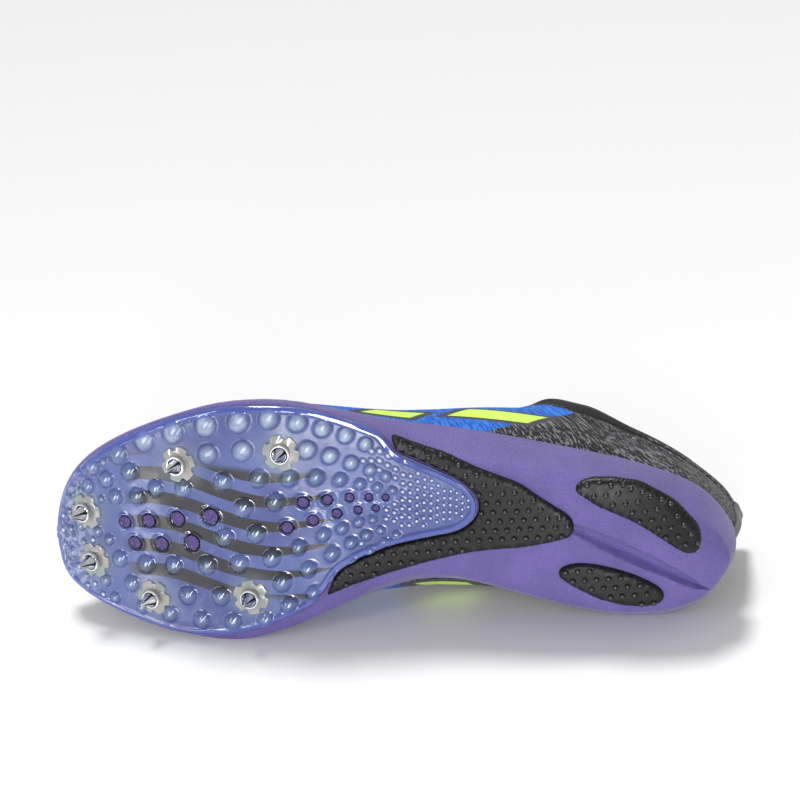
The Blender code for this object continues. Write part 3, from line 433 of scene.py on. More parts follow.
def knit_material():
    # Heathered knit whose courses slant, with a blue zone and lime bands.
    paint = Paint("heathered_knit", (0.04, 0.04, 0.045), 0.85)
    mm = paint.spot()
    x, y = paint.axes(mm)[:2]
    slant = (0.0, math.radians(62), 0.0)
    upright = paint.noise(paint.spot((0.028, 1.05, 1.30), slant), 1.0, 2)
    lying = paint.noise(paint.spot((0.028, 1.05, 1.30), (0.0, math.radians(40), 0.0)), 1.0, 2)
    back = paint.between(x, 78.0, 44.0)
    streak = paint.plus(paint.times(upright, paint.less(1.0, back)), paint.times(lying, back))
    thread = paint.noise(paint.spot((0.10, 1.7, 2.4), slant), 1.0, 2)
    heather = paint.plus(paint.times(streak, 0.78), paint.times(thread, 0.22))
    grey = paint.mix(paint.between(heather, 0.495, 0.610), (0.0050, 0.0050, 0.0065),
                     (0.230, 0.222, 0.240))
    blue_streak = paint.noise(paint.spot((0.08, 1.2, 1.6), slant), 1.0, 2)
    blue = paint.mix(paint.between(blue_streak, 0.35, 0.65), (0.004, 0.060, 0.42),
                     (0.030, 0.230, 0.78))
    rise = paint.attribute("rise")
    colour = paint.mix(blue_zone(paint, mm, x, y, rise), grey, blue)
    for band in LIME_BANDS:
        colour = lime_band(paint, colour, x, y, rise, band)
    # a smooth dark band along the collar, and a plain dark lining
    hem = paint.between(paint.attribute("hem"), 0.0064, 0.0056)
    collar = paint.times(hem, paint.between(x, 36.0, 48.0))
    colour = paint.mix(collar, colour, (0.008, 0.008, 0.009))
    colour = paint.mix(paint.attribute("lining"), colour, (0.010, 0.010, 0.012))
    paint.join(colour, "Base Color")
    ribs = paint.node("ShaderNodeTexWave", wave_type="BANDS", bands_direction="Z")
    paint.feed(ribs.inputs["Vector"], paint.spot((1, 1, 1), slant))
    ribs.inputs["Scale"].default_value = 0.26
    ribs.inputs["Distortion"].default_value = 1.2
    ribs.inputs["Detail"].default_value = 1.0
    body = paint.bump(streak, 0.5, 0.0007)
    body = paint.bump(ribs.outputs["Fac"], 0.55, 0.00045, body)
    paint.bump(paint.noise(mm, 2.8, 2), 0.5, 0.0003, body)
    paint.set("Specular IOR Level", 0.3)
    paint.set("Sheen Weight", 0.08)
    return paint.material


def cloth_material(name, dark, light, rough, scale):
    # Plain cloth, its grain between a dark and a light colour.
    paint = Paint(name, light, rough)
    mm = paint.spot()
    grain = paint.noise(mm, scale, 3)
    paint.join(paint.mix(paint.between(grain, 0.35, 0.65), dark, light), "Base Color")
    paint.bump(grain, 0.6, 0.0003)
    paint.set("Sheen Weight", 0.2)
    return paint.material


def eyelet_material():
    # Dark moulded ring, slightly worn.
    paint = Paint("eyelet_ring", (0.010, 0.010, 0.011), 0.35)
    mm = paint.spot()
    grain = paint.noise(mm, 1.5, 2)
    colour = paint.mix(paint.between(grain, 0.4, 0.7), (0.008, 0.008, 0.009), (0.030, 0.030, 0.033))
    paint.join(colour, "Base Color")
    paint.bump(grain, 0.2, 0.0002)
    return paint.material


def lace_material():
    # Pale cord in a fine diagonal weave.
    paint = Paint("lace_weave", (0.55, 0.57, 0.55), 0.8)
    weave = paint.node("ShaderNodeTexChecker")
    weave.inputs["Scale"].default_value = 1.1
    paint.feed(weave.inputs["Vector"], paint.spot((1, 1, 1), (0, 0, math.radians(45))))
    colour = paint.mix(weave.outputs["Fac"], (0.44, 0.46, 0.45), (0.68, 0.70, 0.68))
    paint.join(colour, "Base Color")
    paint.bump(weave.outputs["Fac"], 0.5, 0.0003)
    return paint.material


# Lime bands of the upper: first and last along, height of their foot over the lip,
# their own height, and their side: 1 lateral, -1 medial.
LIME_BANDS = (
    (98.0, 131.0, 0.0170, 0.0120, 1.0),
    (142.0, 162.0, 0.0110, 0.0080, 1.0),
    (114.0, 136.0, 0.0085, 0.0110, -1.0),
)
BAND_SLANT = 620.0         # millimetres that a band leans forward per metre of height


# Shaping

def nothing_selected():
    if bpy.context.object and bpy.context.object.mode != "OBJECT":
        bpy.ops.object.mode_set(mode="OBJECT")
    bpy.ops.object.select_all(action="DESELECT")


def take(piece):
    # Selects one object and makes it the active one.
    nothing_selected()
    piece.select_set(True)
    bpy.context.view_layer.objects.active = piece


def placed(name, mesh):
    # A new object with this mesh, taken up.
    piece = bpy.data.objects.new(name, mesh)
    bpy.context.scene.collection.objects.link(piece)
    take(piece)
    return piece


def built(name, bm):
    # A new object from a bmesh, its faces turned outwards.
    bmesh.ops.recalc_face_normals(bm, faces=bm.faces)
    mesh = bpy.data.meshes.new(name)
    bm.to_mesh(mesh)
    bm.free()
    return placed(name, mesh)


def added(name):
    # The object that the last operator added, named and taken up.
    piece = bpy.context.object
    piece.name = name
    take(piece)
    return piece


def modify(piece, kind, **values):
    # Applies one modifier to the object in hand.
    modifier = piece.modifiers.new("shaping", kind)
    for key, value in values.items():
        setattr(modifier, key, value)
    bpy.ops.object.modifier_apply(modifier=modifier.name)


def edit_all(piece):
    take(piece)
    bpy.ops.object.mode_set(mode="EDIT")
    bpy.ops.mesh.select_all(action="SELECT")


def leave_edit():
    bpy.ops.mesh.select_all(action="DESELECT")
    bpy.ops.object.mode_set(mode="OBJECT")


def extrude(rise, shrink=1.0):
    # Lifts the selected faces or edges along z and scales them about their middle.
    bpy.ops.mesh.extrude_region_move(TRANSFORM_OT_translate={"value": (0, 0, rise)})
    if shrink != 1.0:
        bpy.ops.transform.resize(value=(shrink, shrink, 1))


def add_skirt(depth):
    # Draws the open edge of the sheet in hand towards the foam, then selects all of it.
    bpy.ops.mesh.select_all(action="DESELECT")
    bpy.ops.mesh.select_non_manifold(extend=False, use_boundary=True)
    extrude(depth)
    bpy.ops.mesh.select_all(action="SELECT")


def smooth_below(degrees):
    bpy.ops.object.shade_smooth_by_angle(angle=math.radians(degrees))


def copy_of(node, name, levels=0, crease=0):
    # A copy of a CAD node's mesh, merged into quads and rounded. Edges over the crease
    # angle stay crisp.
    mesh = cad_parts[node].data.copy()
    mesh.name = name
    mesh.materials.clear()
    piece = placed(name, mesh)
    edit_all(piece)
    bpy.ops.mesh.remove_doubles(threshold=0.00001)
    bpy.ops.mesh.tris_convert_to_quads(face_threshold=math.radians(40), shape_threshold=math.radians(60))
    leave_edit()
    if levels:
        bm = bmesh.new()
        bm.from_mesh(mesh)
        values = [0.75 if e.calc_face_angle(0.0) > math.radians(crease) else 0.0 for e in bm.edges]
        bm.free()
        mesh.attributes.new("crease_edge", "FLOAT", "EDGE").data.foreach_set("value", values)
        modify(piece, "SUBSURF", levels=levels, render_levels=levels)
    smooth_below(50)
    return piece


def settle(piece, material, slot, *nodes):
    # Gives a finished piece its material and body, and hides the nodes it stands for. The slot is not used.
    piece.data.materials.clear()
    piece.data.materials.append(material)
    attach(piece, "root")
    if nodes:
        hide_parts(*nodes)


def smooth_curve(xs, ys):
    # A curve through the rows that does not overshoot them.
    xs, ys = np.array(xs, float), np.array(ys, float)
    step = np.diff(xs)
    slope = np.diff(ys) / step
    tangent = np.zeros(len(xs))
    tangent[0], tangent[-1] = slope[0], slope[-1]
    for i in range(1, len(xs) - 1):
        if slope[i - 1] * slope[i] > 0:
            before, after = 2 * step[i] + step[i - 1], step[i] + 2 * step[i - 1]
            tangent[i] = (before + after) / (before / slope[i - 1] + after / slope[i])

    def value(x):
        x = min(max(x, xs[0]), xs[-1])
        i = min(int(np.searchsorted(xs, x, side="right")) - 1, len(step) - 1)
        t = (x - xs[i]) / step[i]
        return float(ys[i] * (1 + 2 * t) * (1 - t) ** 2 + tangent[i] * step[i] * t * (1 - t) ** 2
                     + ys[i + 1] * t * t * (3 - 2 * t) - tangent[i + 1] * step[i] * t * t * (1 - t))

    return value


def smoothed(values, reach):
    # A running average along the first axis that keeps both ends.
    padded = np.concatenate([values[:1]] * reach + [values] + [values[-1:]] * reach)
    return sum(padded[k:k + len(values)] for k in range(2 * reach + 1)) / (2 * reach + 1)


def smooth_step(value, low, high):
    t = np.clip((value - low) / (high - low), 0, 1)
    return t * t * (3 - 2 * t)


def corners_of(node):
    # A CAD node's vertices in the shoe's frame.
    return [UNSHOE @ v.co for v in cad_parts[node].data.vertices]


def tree_of(mesh):
    # A search tree of a mesh in the shoe's frame.
    bm = bmesh.new()
    bm.from_mesh(mesh)
    bm.transform(UNSHOE)
    tree = BVHTree.FromBMesh(bm)
    bm.free()
    return tree


class Underside:
    # Finds a node's lower face and its outline in the shoe's frame.
    def __init__(self, node):
        self.tree = tree_of(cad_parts[node].data)

    def face(self, x, y):
        hit = self.tree.ray_cast(Vector((x, y, -0.05)), Vector((0, 0, 1)))
        return hit[0]

    def normal(self, x, y, step=0.004):
        # Faces away from the shoe.
        a, b = self.face(x + step, y), self.face(x - step, y)
        c, d = self.face(x, y + step), self.face(x, y - step)
        if None in (a, b, c, d):
            return Vector((0, 0, -1))
        return Vector(((a.z - b.z) / (2 * step), (c.z - d.z) / (2 * step), -1.0)).normalized()

    def hits(self, x, step):
        # The y of every spot across the shoe at x where the node has a lower face.
        return [y for y in np.arange(-0.06, 0.06, step) if self.face(x, float(y)) is not None]

    def span(self, x):
        # Lateral and medial edge at x.
        ys = self.hits(x, 0.0005)
        return (max(ys), min(ys)) if ys else None


foam_face = Underside("midsole")
plate_face = Underside("plate")


def stand(place, normal):
    # Stands a piece at a place in the shoe's frame, its own z along the normal.
    turn = Vector((0, 0, 1)).rotation_difference(normal).to_matrix().to_4x4()
    return Matrix.Translation(place) @ turn


def foot_matrix(x, y, depth):
    # Stands a piece on the sole at x, y, at a depth below the foam.
    normal = foam_face.normal(x, y)
    return stand(Vector((x, y, foam_face.face(x, y).z)) + normal * depth, normal)


def skin(bm, rings):
    # Faces along a run of equal rings, with both ends closed.
    sides = len(rings[0])
    for one, two in zip(rings, rings[1:]):
        for i in range(sides):
            j = (i + 1) % sides
            bm.faces.new((one[i], one[j], two[j], two[i]))
    bm.faces.new(rings[0][::-1])
    bm.faces.new(rings[-1])


def dome_seed(sides=10, rings=2):
    # A round dome of radius and height 1.
    bpy.ops.mesh.primitive_circle_add(vertices=sides, radius=1.0, fill_type="NGON")
    seed = added("dome")
    edit_all(seed)
    last, low = 1.0, 0.0
    for k in range(1, rings + 1):
        angle = math.pi / 2 * k / (rings + 1)
        extrude(math.sin(angle) - low, math.cos(angle) / last)
        last, low = math.cos(angle), math.sin(angle)
    extrude(1 - low)
    bpy.ops.mesh.merge(type="CENTER")
    leave_edit()
    return seed


def scatter(name, seed, places, radius, height, root=0.0003):
    # The seed copied to each place on the sole as one object; its foot reaches in by root.
    top = max(v.co.z for v in seed.data.vertices)
    bm = bmesh.new()
    for x, y, depth in places:
        spots = foot_matrix(x, y, depth)
        made = []
        for v in seed.data.vertices:
            rise = v.co.z / top * height if v.co.z > 0 else -root
            local = Vector((v.co.x * radius, v.co.y * radius, rise))
            made.append(bm.verts.new(SHOE @ (spots @ local)))
        for f in seed.data.polygons:
            bm.faces.new([made[k] for k in f.vertices])
    bpy.data.objects.remove(seed)
    piece = built(name, bm)
    bpy.ops.object.shade_smooth()
    return piece


# The sole

# Studs of the plate: x, y and diameter in millimetres, row by row from the lateral edge.
STUDS = (
    (264.2, 13.3, 6.4), (252.2, 21.2, 7.8), (240.1, 29.0, 8.4), (227.1, 34.8, 8.8), (213.0, 39.5, 8.8),
    (199.2, 42.6, 8.6), (186.8, 45.0, 8.0), (175.4, 44.0, 7.2), (165.4, 42.2, 6.8), (156.2, 39.8, 6.2),
    (148.3, 36.4, 5.2), (266.4, 4.5, 5.4), (257.9, 9.2, 6.6), (247.0, 14.6, 7.2), (234.9, 9.4, 6.6),
    (212.0, 27.6, 8.0), (197.6, 30.6, 8.2), (171.4, 33.0, 7.0), (162.2, 31.0, 6.4), (153.8, 28.4, 5.8),
    (146.2, 26.0, 5.0), (139.9, 23.8, 4.3), (253.6, 2.4, 6.2), (243.4, 4.6, 6.8), (222.6, 11.4, 7.2),
    (205.6, 16.6, 7.6), (190.8, 19.6, 7.4), (178.4, 20.6, 6.8), (167.6, 21.6, 6.4), (158.1, 21.2, 5.6),
    (150.1, 19.8, 4.8), (143.1, 18.9, 4.1), (136.9, 18.2, 3.7), (197.0, 6.3, 7.6), (184.0, 10.2, 7.2),
    (204.8, -7.2, 7.6), (191.6, -4.2, 7.4), (251.9, -24.6, 6.8), (239.6, -24.4, 7.2), (227.1, -22.8, 7.4),
    (212.3, -20.2, 7.6), (198.6, -17.8, 7.6), (185.2, -13.9, 7.2), (174.2, -8.6, 6.4), (164.4, -2.6, 5.7),
    (156.9, 0.6, 5.0), (150.3, 3.7, 4.4), (144.6, 5.2, 3.8), (246.6, -34.5, 6.6), (220.9, -34.9, 7.6),
    (206.4, -33.1, 7.4), (180.6, -24.2, 7.4), (170.2, -17.8, 6.6), (160.8, -10.6, 6.0), (153.2, -5.4, 5.2),
    (147.0, -1.8, 4.5), (141.4, 0.8, 3.9), (242.0, -44.2, 5.6), (229.2, -44.7, 6.6), (214.8, -44.8, 7.2),
    (201.2, -43.6, 7.2), (187.4, -41.6, 6.8), (177.8, -34.0, 6.8), (167.8, -28.0, 6.2), (159.2, -20.8, 5.8),
    (151.6, -13.8, 5.0), (145.4, -8.4, 4.5), (139.9, -4.2, 4.0), (134.9, -0.6, 3.5), (270.8, -14.2, 4.2),
    (262.3, -14.6, 4.2), (269.4, -20.9, 3.6), (258.8, -35.6, 5.0), (268.6, -36.0, 3.8), (254.6, -42.6, 4.8),
    (256.8, -17.0, 4.4), (275.2, 1.6, 4.2), (275.6, -16.6, 3.4), (272.4, 8.6, 4.4),
)
# Windows in the plate: x, y and diameter in millimetres.
WINDOWS = (
    (249.2, -7.7, 5.0), (238.3, -5.2, 5.6), (225.4, -2.1, 6.2), (210.9, 1.0, 6.8),
    (244.7, -16.1, 5.4), (232.5, -14.3, 5.8), (219.0, -11.5, 6.6),
    (172.7, 10.6, 4.6), (163.1, 12.3, 4.0), (154.2, 13.8, 3.4), (146.5, 14.3, 2.8), (139.7, 14.8, 2.5),
    (179.0, -0.4, 4.9), (168.6, 3.3, 4.2), (159.1, 6.7, 3.7), (150.7, 8.7, 3.0), (143.6, 9.9, 2.5),
)

TAIL_FRONT = 0.1490        # where the tail's fine studs begin and end
TAIL_BACK = 0.1065
TOE_TRIES = 1500           # random spots that are tried for the toe's studs


def stud_places():
    return [(x / 1000, y / 1000, wide / 1000) for x, y, wide in STUDS]


def window_places():
    return [(x / 1000, y / 1000, wide / 2000) for x, y, wide in WINDOWS]


def keeps_clear(x, y, others, reach):
    # Whether x, y is farther from each other place than reach gives for that one's size.
    return all(math.dist((x, y), other[:2]) > reach(other[2]) for other in others)


def tail_places(taken):
    # Fine studs in the plate's tail, staggered row by row between the larger ones.
    windows = window_places()
    places = []
    x = TAIL_FRONT
    row = 0
    while x > TAIL_BACK:
        lateral, medial = plate_face.span(x)
        share = min(1.0, (x - 0.105) / 0.0375)
        gap = 0.0026 + 0.0013 * share
        wide = 0.66 * gap
        count = max(1, int((lateral - medial - 0.0065) / gap))
        start = (lateral + medial) / 2 - gap * (count - 1) / 2 + (gap / 2 if row % 2 else 0)
        for k in range(count):
            y = start + k * gap
            free = keeps_clear(x, y, windows, lambda radius: radius + wide / 2 + 0.0003)
            free = free and keeps_clear(x, y, taken, lambda size: (size + wide) * 0.46)
            if free and min(lateral - y, y - medial) > wide / 2 + 0.0026:
                places.append((x, y, wide))
        x -= 0.84 * gap
        row += 1
    return places


def toe_places(taken):
    # Small irregular studs that fill the toe in front of the rows.
    rng = random.Random(7)
    places = []
    for _ in range(TOE_TRIES):
        x = rng.uniform(0.259, 0.281)
        span = plate_face.span(x)
        if span is None:
            continue
        lateral, medial = span
        y = rng.uniform(medial, lateral)
        wide = rng.uniform(0.0026, 0.0044)
        if min(lateral - y, y - medial) < wide / 2 + 0.0024 or x > 0.2815 - wide / 2:
            continue
        if min(math.dist((x, y), spot) for spot in SPIKES) <= 0.0074 + wide / 2:
            continue
        if keeps_clear(x, y, taken + places, lambda size: (size + wide) / 2 + 0.0007):
            places.append((x, y, wide))
    return places


# The moulded plate: squares of its grid along and across, and its relief in metres.
PLATE_GRID = (420, 200)
RIM_HEIGHT = 0.0009
EDGE_DROP = 0.0007         # how far the very edge falls back
STUD_LEAN = math.radians(122)
STUD_STRETCH = 1.16        # length over width of the larger studs
STUD_REACH = 0.56          # radius of a stud's foot, as a share of its diameter
STUD_SLOPE = 0.42          # height as a share of its diameter
STUD_TOP = 0.0024          # and at most
WELL_DEPTH = 0.0008
WELL_LIP = 0.00045
WAVE_HEIGHT = 0.00016


def edge_between(x, inside, outside):
    # The plate's edge at x, by halving the gap between a spot on it and one past it.
    for _ in range(9):
        middle = (inside + outside) / 2
        if plate_face.face(x, middle) is None:
            outside = middle
        else:
            inside = middle
    return inside


def plate_columns():
    # The x of each column of the grid, and the plate's lateral and medial edge there.
    corners = corners_of("plate")
    first, last = min(c.x for c in corners) + 0.00005, max(c.x for c in corners) - 0.0002
    us = np.linspace(0, 1, PLATE_GRID[0] + 1)
    xs = first + (last - first) * (1 - np.cos(np.pi * us)) / 2
    sides = []
    for x in xs:
        ys = plate_face.hits(x, 0.001)
        if not ys:
            sides.append((np.nan, np.nan))
            continue
        middle = float(np.median(ys))
        sides.append([edge_between(x, middle, past) for past in (max(ys) + 0.0012, min(ys) - 0.0012)])
    sides = np.array(sides)
    good = ~np.isnan(sides[:, 0])
    keep = smooth_step(np.minimum(us, 1 - us), 0.03, 0.06)
    for k in (0, 1):
        sides[:, k] = np.interp(xs, xs[good], sides[good, k])
        sides[:, k] = sides[:, k] * (1 - keep) + smoothed(sides[:, k], 3) * keep
    return xs, sides


def plate_ground(x, y, column, row):
    # The foam's height under each point of the grid, evened out both ways.
    along, across = PLATE_GRID
    ground = np.zeros((along + 1, across + 1))
    for index in range(len(x)):
        hit = foam_face.face(float(x[index]), float(y[index]))
        ground[column[index], row[index]] = hit.z if hit is not None else np.nan
    for line in ground:
        fine = ~np.isnan(line)
        if fine.any():
            line[:] = np.interp(np.arange(across + 1), np.flatnonzero(fine), line[fine])
    level = smoothed(smoothed(ground, 4).T, 4).T
    return level[column, row]


def edge_distance(x, y, outline, batch=4000):
    # How far each point lies from the outline.
    edge = np.zeros(len(x))
    for start in range(0, len(x), batch):
        part = slice(start, start + batch)
        gaps = np.hypot(x[part, None] - outline[None, :, 0], y[part, None] - outline[None, :, 1])
        edge[part] = gaps.min(1)
    return edge


def raise_studs(x, y, studs, height):
    # Lifts the sheet into leaning studs, and finds each one's dome and the streak where a highlight is
    # painted.
    dome = np.zeros(len(x))
    painted_glint = np.zeros(len(x))
    for px, py, wide in studs:
        stretch = STUD_STRETCH if wide > 0.004 else 1.0
        dx, dy = x - px, y - py
        u = (dx * math.cos(STUD_LEAN) + dy * math.sin(STUD_LEAN)) / stretch
        v = -dx * math.sin(STUD_LEAN) + dy * math.cos(STUD_LEAN)
        bump = np.clip(1 - (np.hypot(u, v) / (wide * STUD_REACH)) ** 2, 0, 1)
        dome = np.maximum(dome, bump)
        height = np.maximum(height, PLATE_FACE + min(STUD_TOP, STUD_SLOPE * wide) * bump ** 1.10)
        # the painted highlight: a round dot on the small studs, a streak leaning up and right on the larger
        # ones
        if wide < 0.0030:
            light = 1 - (np.hypot(u - 0.0002, v) / (wide * 0.30)) ** 2
        else:
            light = 0.85 * (1 - (u / wide - 0.10) ** 2 / 0.045 - (v / wide) ** 2 / 0.0065)
        painted_glint = np.maximum(painted_glint, np.clip(light, 0, 1))
    return height, dome, painted_glint


def sink_wells(x, y, height):
    # Sinks a well with a raised lip at each window, and marks the well for painted shade.
    well = np.zeros(len(x))
    for wx, wy, radius in window_places():
        away = np.hypot(x - wx, y - wy)
        inside = 1 - smooth_step(away, radius * 1.02, radius * 1.02 + 0.0006)
        well = np.maximum(well, inside)
        height -= WELL_DEPTH * inside
        height += WELL_LIP * np.exp(-((away - radius - 0.0010) / 0.0005) ** 2)
    return height, well


def make_plate(studs, material):
    # A fine sheet between the plate's edges, raised into rim, studs and wells.
    along, across = PLATE_GRID
    xs, sides = plate_columns()
    outline = np.concatenate([np.stack([xs, sides[:, 0]], 1), np.stack([xs[::-1], sides[::-1, 1]], 1)])
    bpy.ops.mesh.primitive_grid_add(x_subdivisions=along, y_subdivisions=across, size=2)
    piece = added("moulded_plate")
    flat = np.zeros(len(piece.data.vertices) * 3)
    piece.data.vertices.foreach_get("co", flat)
    flat = flat.reshape(-1, 3)
    column = np.rint((flat[:, 0] + 1) / 2 * along).astype(int)
    share = (flat[:, 1] + 1) / 2
    row = np.rint(share * across).astype(int)
    x = xs[column]
    y = sides[column, 1] + share * (sides[column, 0] - sides[column, 1])
    low = plate_ground(x, y, column, row)
    edge = edge_distance(x, y, outline)
    rim = smooth_step(edge, 0.0, 0.0007) * (1 - smooth_step(edge, 0.0020, 0.0032))
    height = PLATE_FACE + (RIM_HEIGHT * rim - EDGE_DROP * (1 - smooth_step(edge, 0.0, 0.0006)))
    height, dome, painted_glint = raise_studs(x, y, studs, height)
    height, well = sink_wells(x, y, height)
    wave = np.array([noise.noise(Vector((px * 90, py * 90, 2.0))) for px, py in zip(x, y)])
    height += WAVE_HEIGHT * wave * smooth_step(edge, 0.003, 0.006)
    piece.data.vertices.foreach_set("co", np.stack([x, y, low - height], 1).ravel())
    painted_rim = rim * smooth_step(edge, 0.0, 0.0005)
    for name, values in (("dome", dome), ("painted_glint", painted_glint), ("rim", painted_rim), ("well", well)):
        piece.data.attributes.new(name, "FLOAT", "POINT").data.foreach_set("value", values)
    edit_all(piece)
    bpy.ops.mesh.remove_doubles(threshold=0.00001)
    add_skirt(0.0011)
    bpy.ops.mesh.flip_normals()
    leave_edit()
    piece.data.transform(SHOE)
    smooth_below(60)
    settle(piece, material, "plate_clear", "plate")


# The rubber's bumps in metres, in staggered rows that lean a little.
TREAD_PITCH = 0.0047
TREAD_GAP = 0.0038
TREAD_LEAN = math.radians(9)
BUMP_RADIUS = 0.00130
BUMP_HEIGHT = 0.0014


def squares_outline(mask):
    # The longest run of corners round the true squares of a mask.
    follow = {}
    for i in range(1, len(mask) - 1):
        for j in range(1, len(mask[0]) - 1):
            if not mask[i][j]:
                continue
            if not mask[i][j - 1]:
                follow[(i, j)] = (i + 1, j)
            if not mask[i + 1][j]:
                follow[(i + 1, j)] = (i + 1, j + 1)
            if not mask[i][j + 1]:
                follow[(i + 1, j + 1)] = (i, j + 1)
            if not mask[i - 1][j]:
                follow[(i, j + 1)] = (i, j)
    loops = []
    while follow:
        start = next(iter(follow))
        loop, spot = [start], follow.pop(start)
        while spot != start and spot in follow:
            loop.append(spot)
            spot = follow.pop(spot)
        loops.append(loop)
    return max(loops, key=len)


def pad_outline(node, passes=12, step=0.0005):
    # The pad's outline seen from below: a mask of small squares whose edge is followed,
    # evenly stepped and softened.
    pad = Underside(node)
    corners = corners_of(node)
    x0, y0 = min(c.x for c in corners) - 2 * step, min(c.y for c in corners) - 2 * step
    wide = int((max(c.x for c in corners) - x0) / step) + 3
    tall = int((max(c.y for c in corners) - y0) / step) + 3
    mask = [[pad.face(x0 + (i + 0.5) * step, y0 + (j + 0.5) * step) is not None for j in range(tall)]
            for i in range(wide)]
    loop = squares_outline(mask)
    path = np.array([(x0 + i * step, y0 + j * step) for i, j in loop + loop[:1]])
    run = np.concatenate([[0], np.cumsum(np.hypot(*np.diff(path, axis=0).T))])
    steps = np.linspace(0, run[-1], int(run[-1] / 0.0008), endpoint=False)
    edge = np.stack([np.interp(steps, run, path[:, k]) for k in (0, 1)], 1)
    for _ in range(passes):
        edge = (np.roll(edge, 1, 0) + 2 * edge + np.roll(edge, -1, 0)) / 4
    return edge


def foam_level(x, y, reach=0.0025):
    # The foam's height, evened out over its facets.
    spots = [(x, y), (x + reach, y), (x - reach, y), (x, y + reach), (x, y - reach)]
    found = [hit.z for hit in (foam_face.face(a, b) for a, b in spots) if hit is not None]
    return sum(found) / len(found) if found else None


def pad_level(own, face_depth, x, y):
    # The pad's lower face, evened out over the spots round x, y that lie on the pad.
    turns = [k * math.pi / 4 for k in range(8)]
    for reach in (0.0004, 0.0009, 0.0016, 0.0026, 0.0040, 0.0060):
        spots = [own.face(x + reach * math.cos(a), y + reach * math.sin(a)) for a in turns]
        found = [spot.z for spot in spots + [own.face(x, y)] if spot is not None]
        if len(found) > 2:
            return sum(found) / len(found)
    return foam_level(x, y) - face_depth


def within(edge, x, y):
    # Whether a point is inside the outline, and how far from it.
    a, b = edge, np.roll(edge, -1, 0)
    crossing = (a[:, 1] > y) != (b[:, 1] > y)
    with np.errstate(divide="ignore", invalid="ignore"):
        cut = (b[:, 0] - a[:, 0]) * (y - a[:, 1]) / (b[:, 1] - a[:, 1]) + a[:, 0]
    inside = np.count_nonzero(crossing & (x < cut)) % 2 == 1
    return inside, float(np.hypot(edge[:, 0] - x, edge[:, 1] - y).min())


def pad_sheet(name, edge):
    # A flat sheet inside the outline, cut into small squares.
    bpy.ops.mesh.primitive_circle_add(vertices=len(edge), radius=0.01, fill_type="NGON")
    pad = added(name)
    for v, (x, y) in zip(pad.data.vertices, edge):
        v.co = (x, y, 0)
    edit_all(pad)
    bpy.ops.mesh.quads_convert_to_tris()
    for axis, facing in enumerate(((1, 0, 0), (0, 1, 0))):
        for cut in np.arange(edge[:, axis].min() + 0.0007, edge[:, axis].max(), 0.0015):
            bpy.ops.mesh.select_all(action="SELECT")
            bpy.ops.mesh.bisect(plane_co=[cut * part for part in facing], plane_no=facing)
    leave_edit()
    return pad


def make_tread(name, edge, own, face_depth, material):
    places = []
    for r in range(-40, 40):
        for k in range(-40, 60):
            u = (k + 0.5 * (r % 2)) * TREAD_PITCH
            v = r * TREAD_GAP
            x = 0.08 + u * math.cos(TREAD_LEAN) + v * math.sin(TREAD_LEAN)
            y = v * math.cos(TREAD_LEAN) - u * math.sin(TREAD_LEAN)
            inside, away = within(edge, x, y)
            if inside and away > 0.0017:
                places.append((x, y, foam_face.face(x, y).z - pad_level(own, face_depth, x, y) - 0.0001))
    bumps = scatter(name + "_tread", dome_seed(), places, BUMP_RADIUS, BUMP_HEIGHT)
    settle(bumps, material, "outsole_rubber")


def make_pad(node, name, face_depth, material, tread):
    # A rubber pad whose face rounds off towards its edge, with its bumps.
    edge = pad_outline(node)
    own = Underside(node)
    pad = pad_sheet(name + "_rubber", edge)
    for v in pad.data.vertices:
        away = within(edge, v.co.x, v.co.y)[1]
        left = 1 - min(away / 0.0009, 1)
        v.co.z = pad_level(own, face_depth, v.co.x, v.co.y) + 0.7 * face_depth * left * left
    edit_all(pad)
    add_skirt(0.0012)
    bpy.ops.mesh.normals_make_consistent(inside=False)
    leave_edit()
    middle = edge[:, 0].mean()
    low = min(pad.data.polygons, key=lambda f: abs(f.center.x - middle) + abs(f.normal.z + 1))
    if low.normal.z > 0:
        pad.data.flip_normals()
    pad.data.transform(SHOE)
    smooth_below(60)
    settle(pad, material, "outsole_rubber", node)
    make_tread(name, edge, own, face_depth, tread)


def make_windows(material):
    # Speckled foam that shows at the bottom of each well.
    discs = []
    for x, y, radius in window_places():
        bpy.ops.mesh.primitive_cylinder_add(vertices=28, radius=radius * 0.90, depth=0.0006)
        disc = added("foam_windows")
        modify(disc, "BEVEL", width=0.00015, segments=2)
        base = Vector((x, y, foam_face.face(x, y).z - PLATE_FACE + 0.0006))
        disc.data.transform(SHOE @ stand(base, foam_face.normal(x, y)))
        discs.append(disc)
    take(discs[0])
    for disc in discs:
        disc.select_set(True)
    bpy.ops.object.join()
    smooth_below(40)
    settle(discs[0], material, "midsole_foam")


# Receptacles and pins in metres. Each step of a pin gives the rise of its next ring and
# that ring's share of the radius before: a flange with a sunk ring, then the point.
CUP_RADIUS = 0.0073
CUP_DEPTH = 0.0016
CUP_LOBES = 6
FLANGE_RADIUS = 0.0040
PIN_LIFT = 0.0009          # how far the pin's foot lies over the cup's depth on the plate
PIN_LEAN = math.radians(5)
PIN_ROOT = 0.0016          # where the point begins, over the foot
PIN_STEPS = (
    (0.0008, 1.00), (0.0003, 0.94), (0.0000, 0.86), (-0.0004, 0.98), (0.0000, 0.98),
    (0.0012, 0.93), (0.0018, 0.74), (0.0018, 0.63), (0.0014, 0.45), (0.0003, 0.50),
)


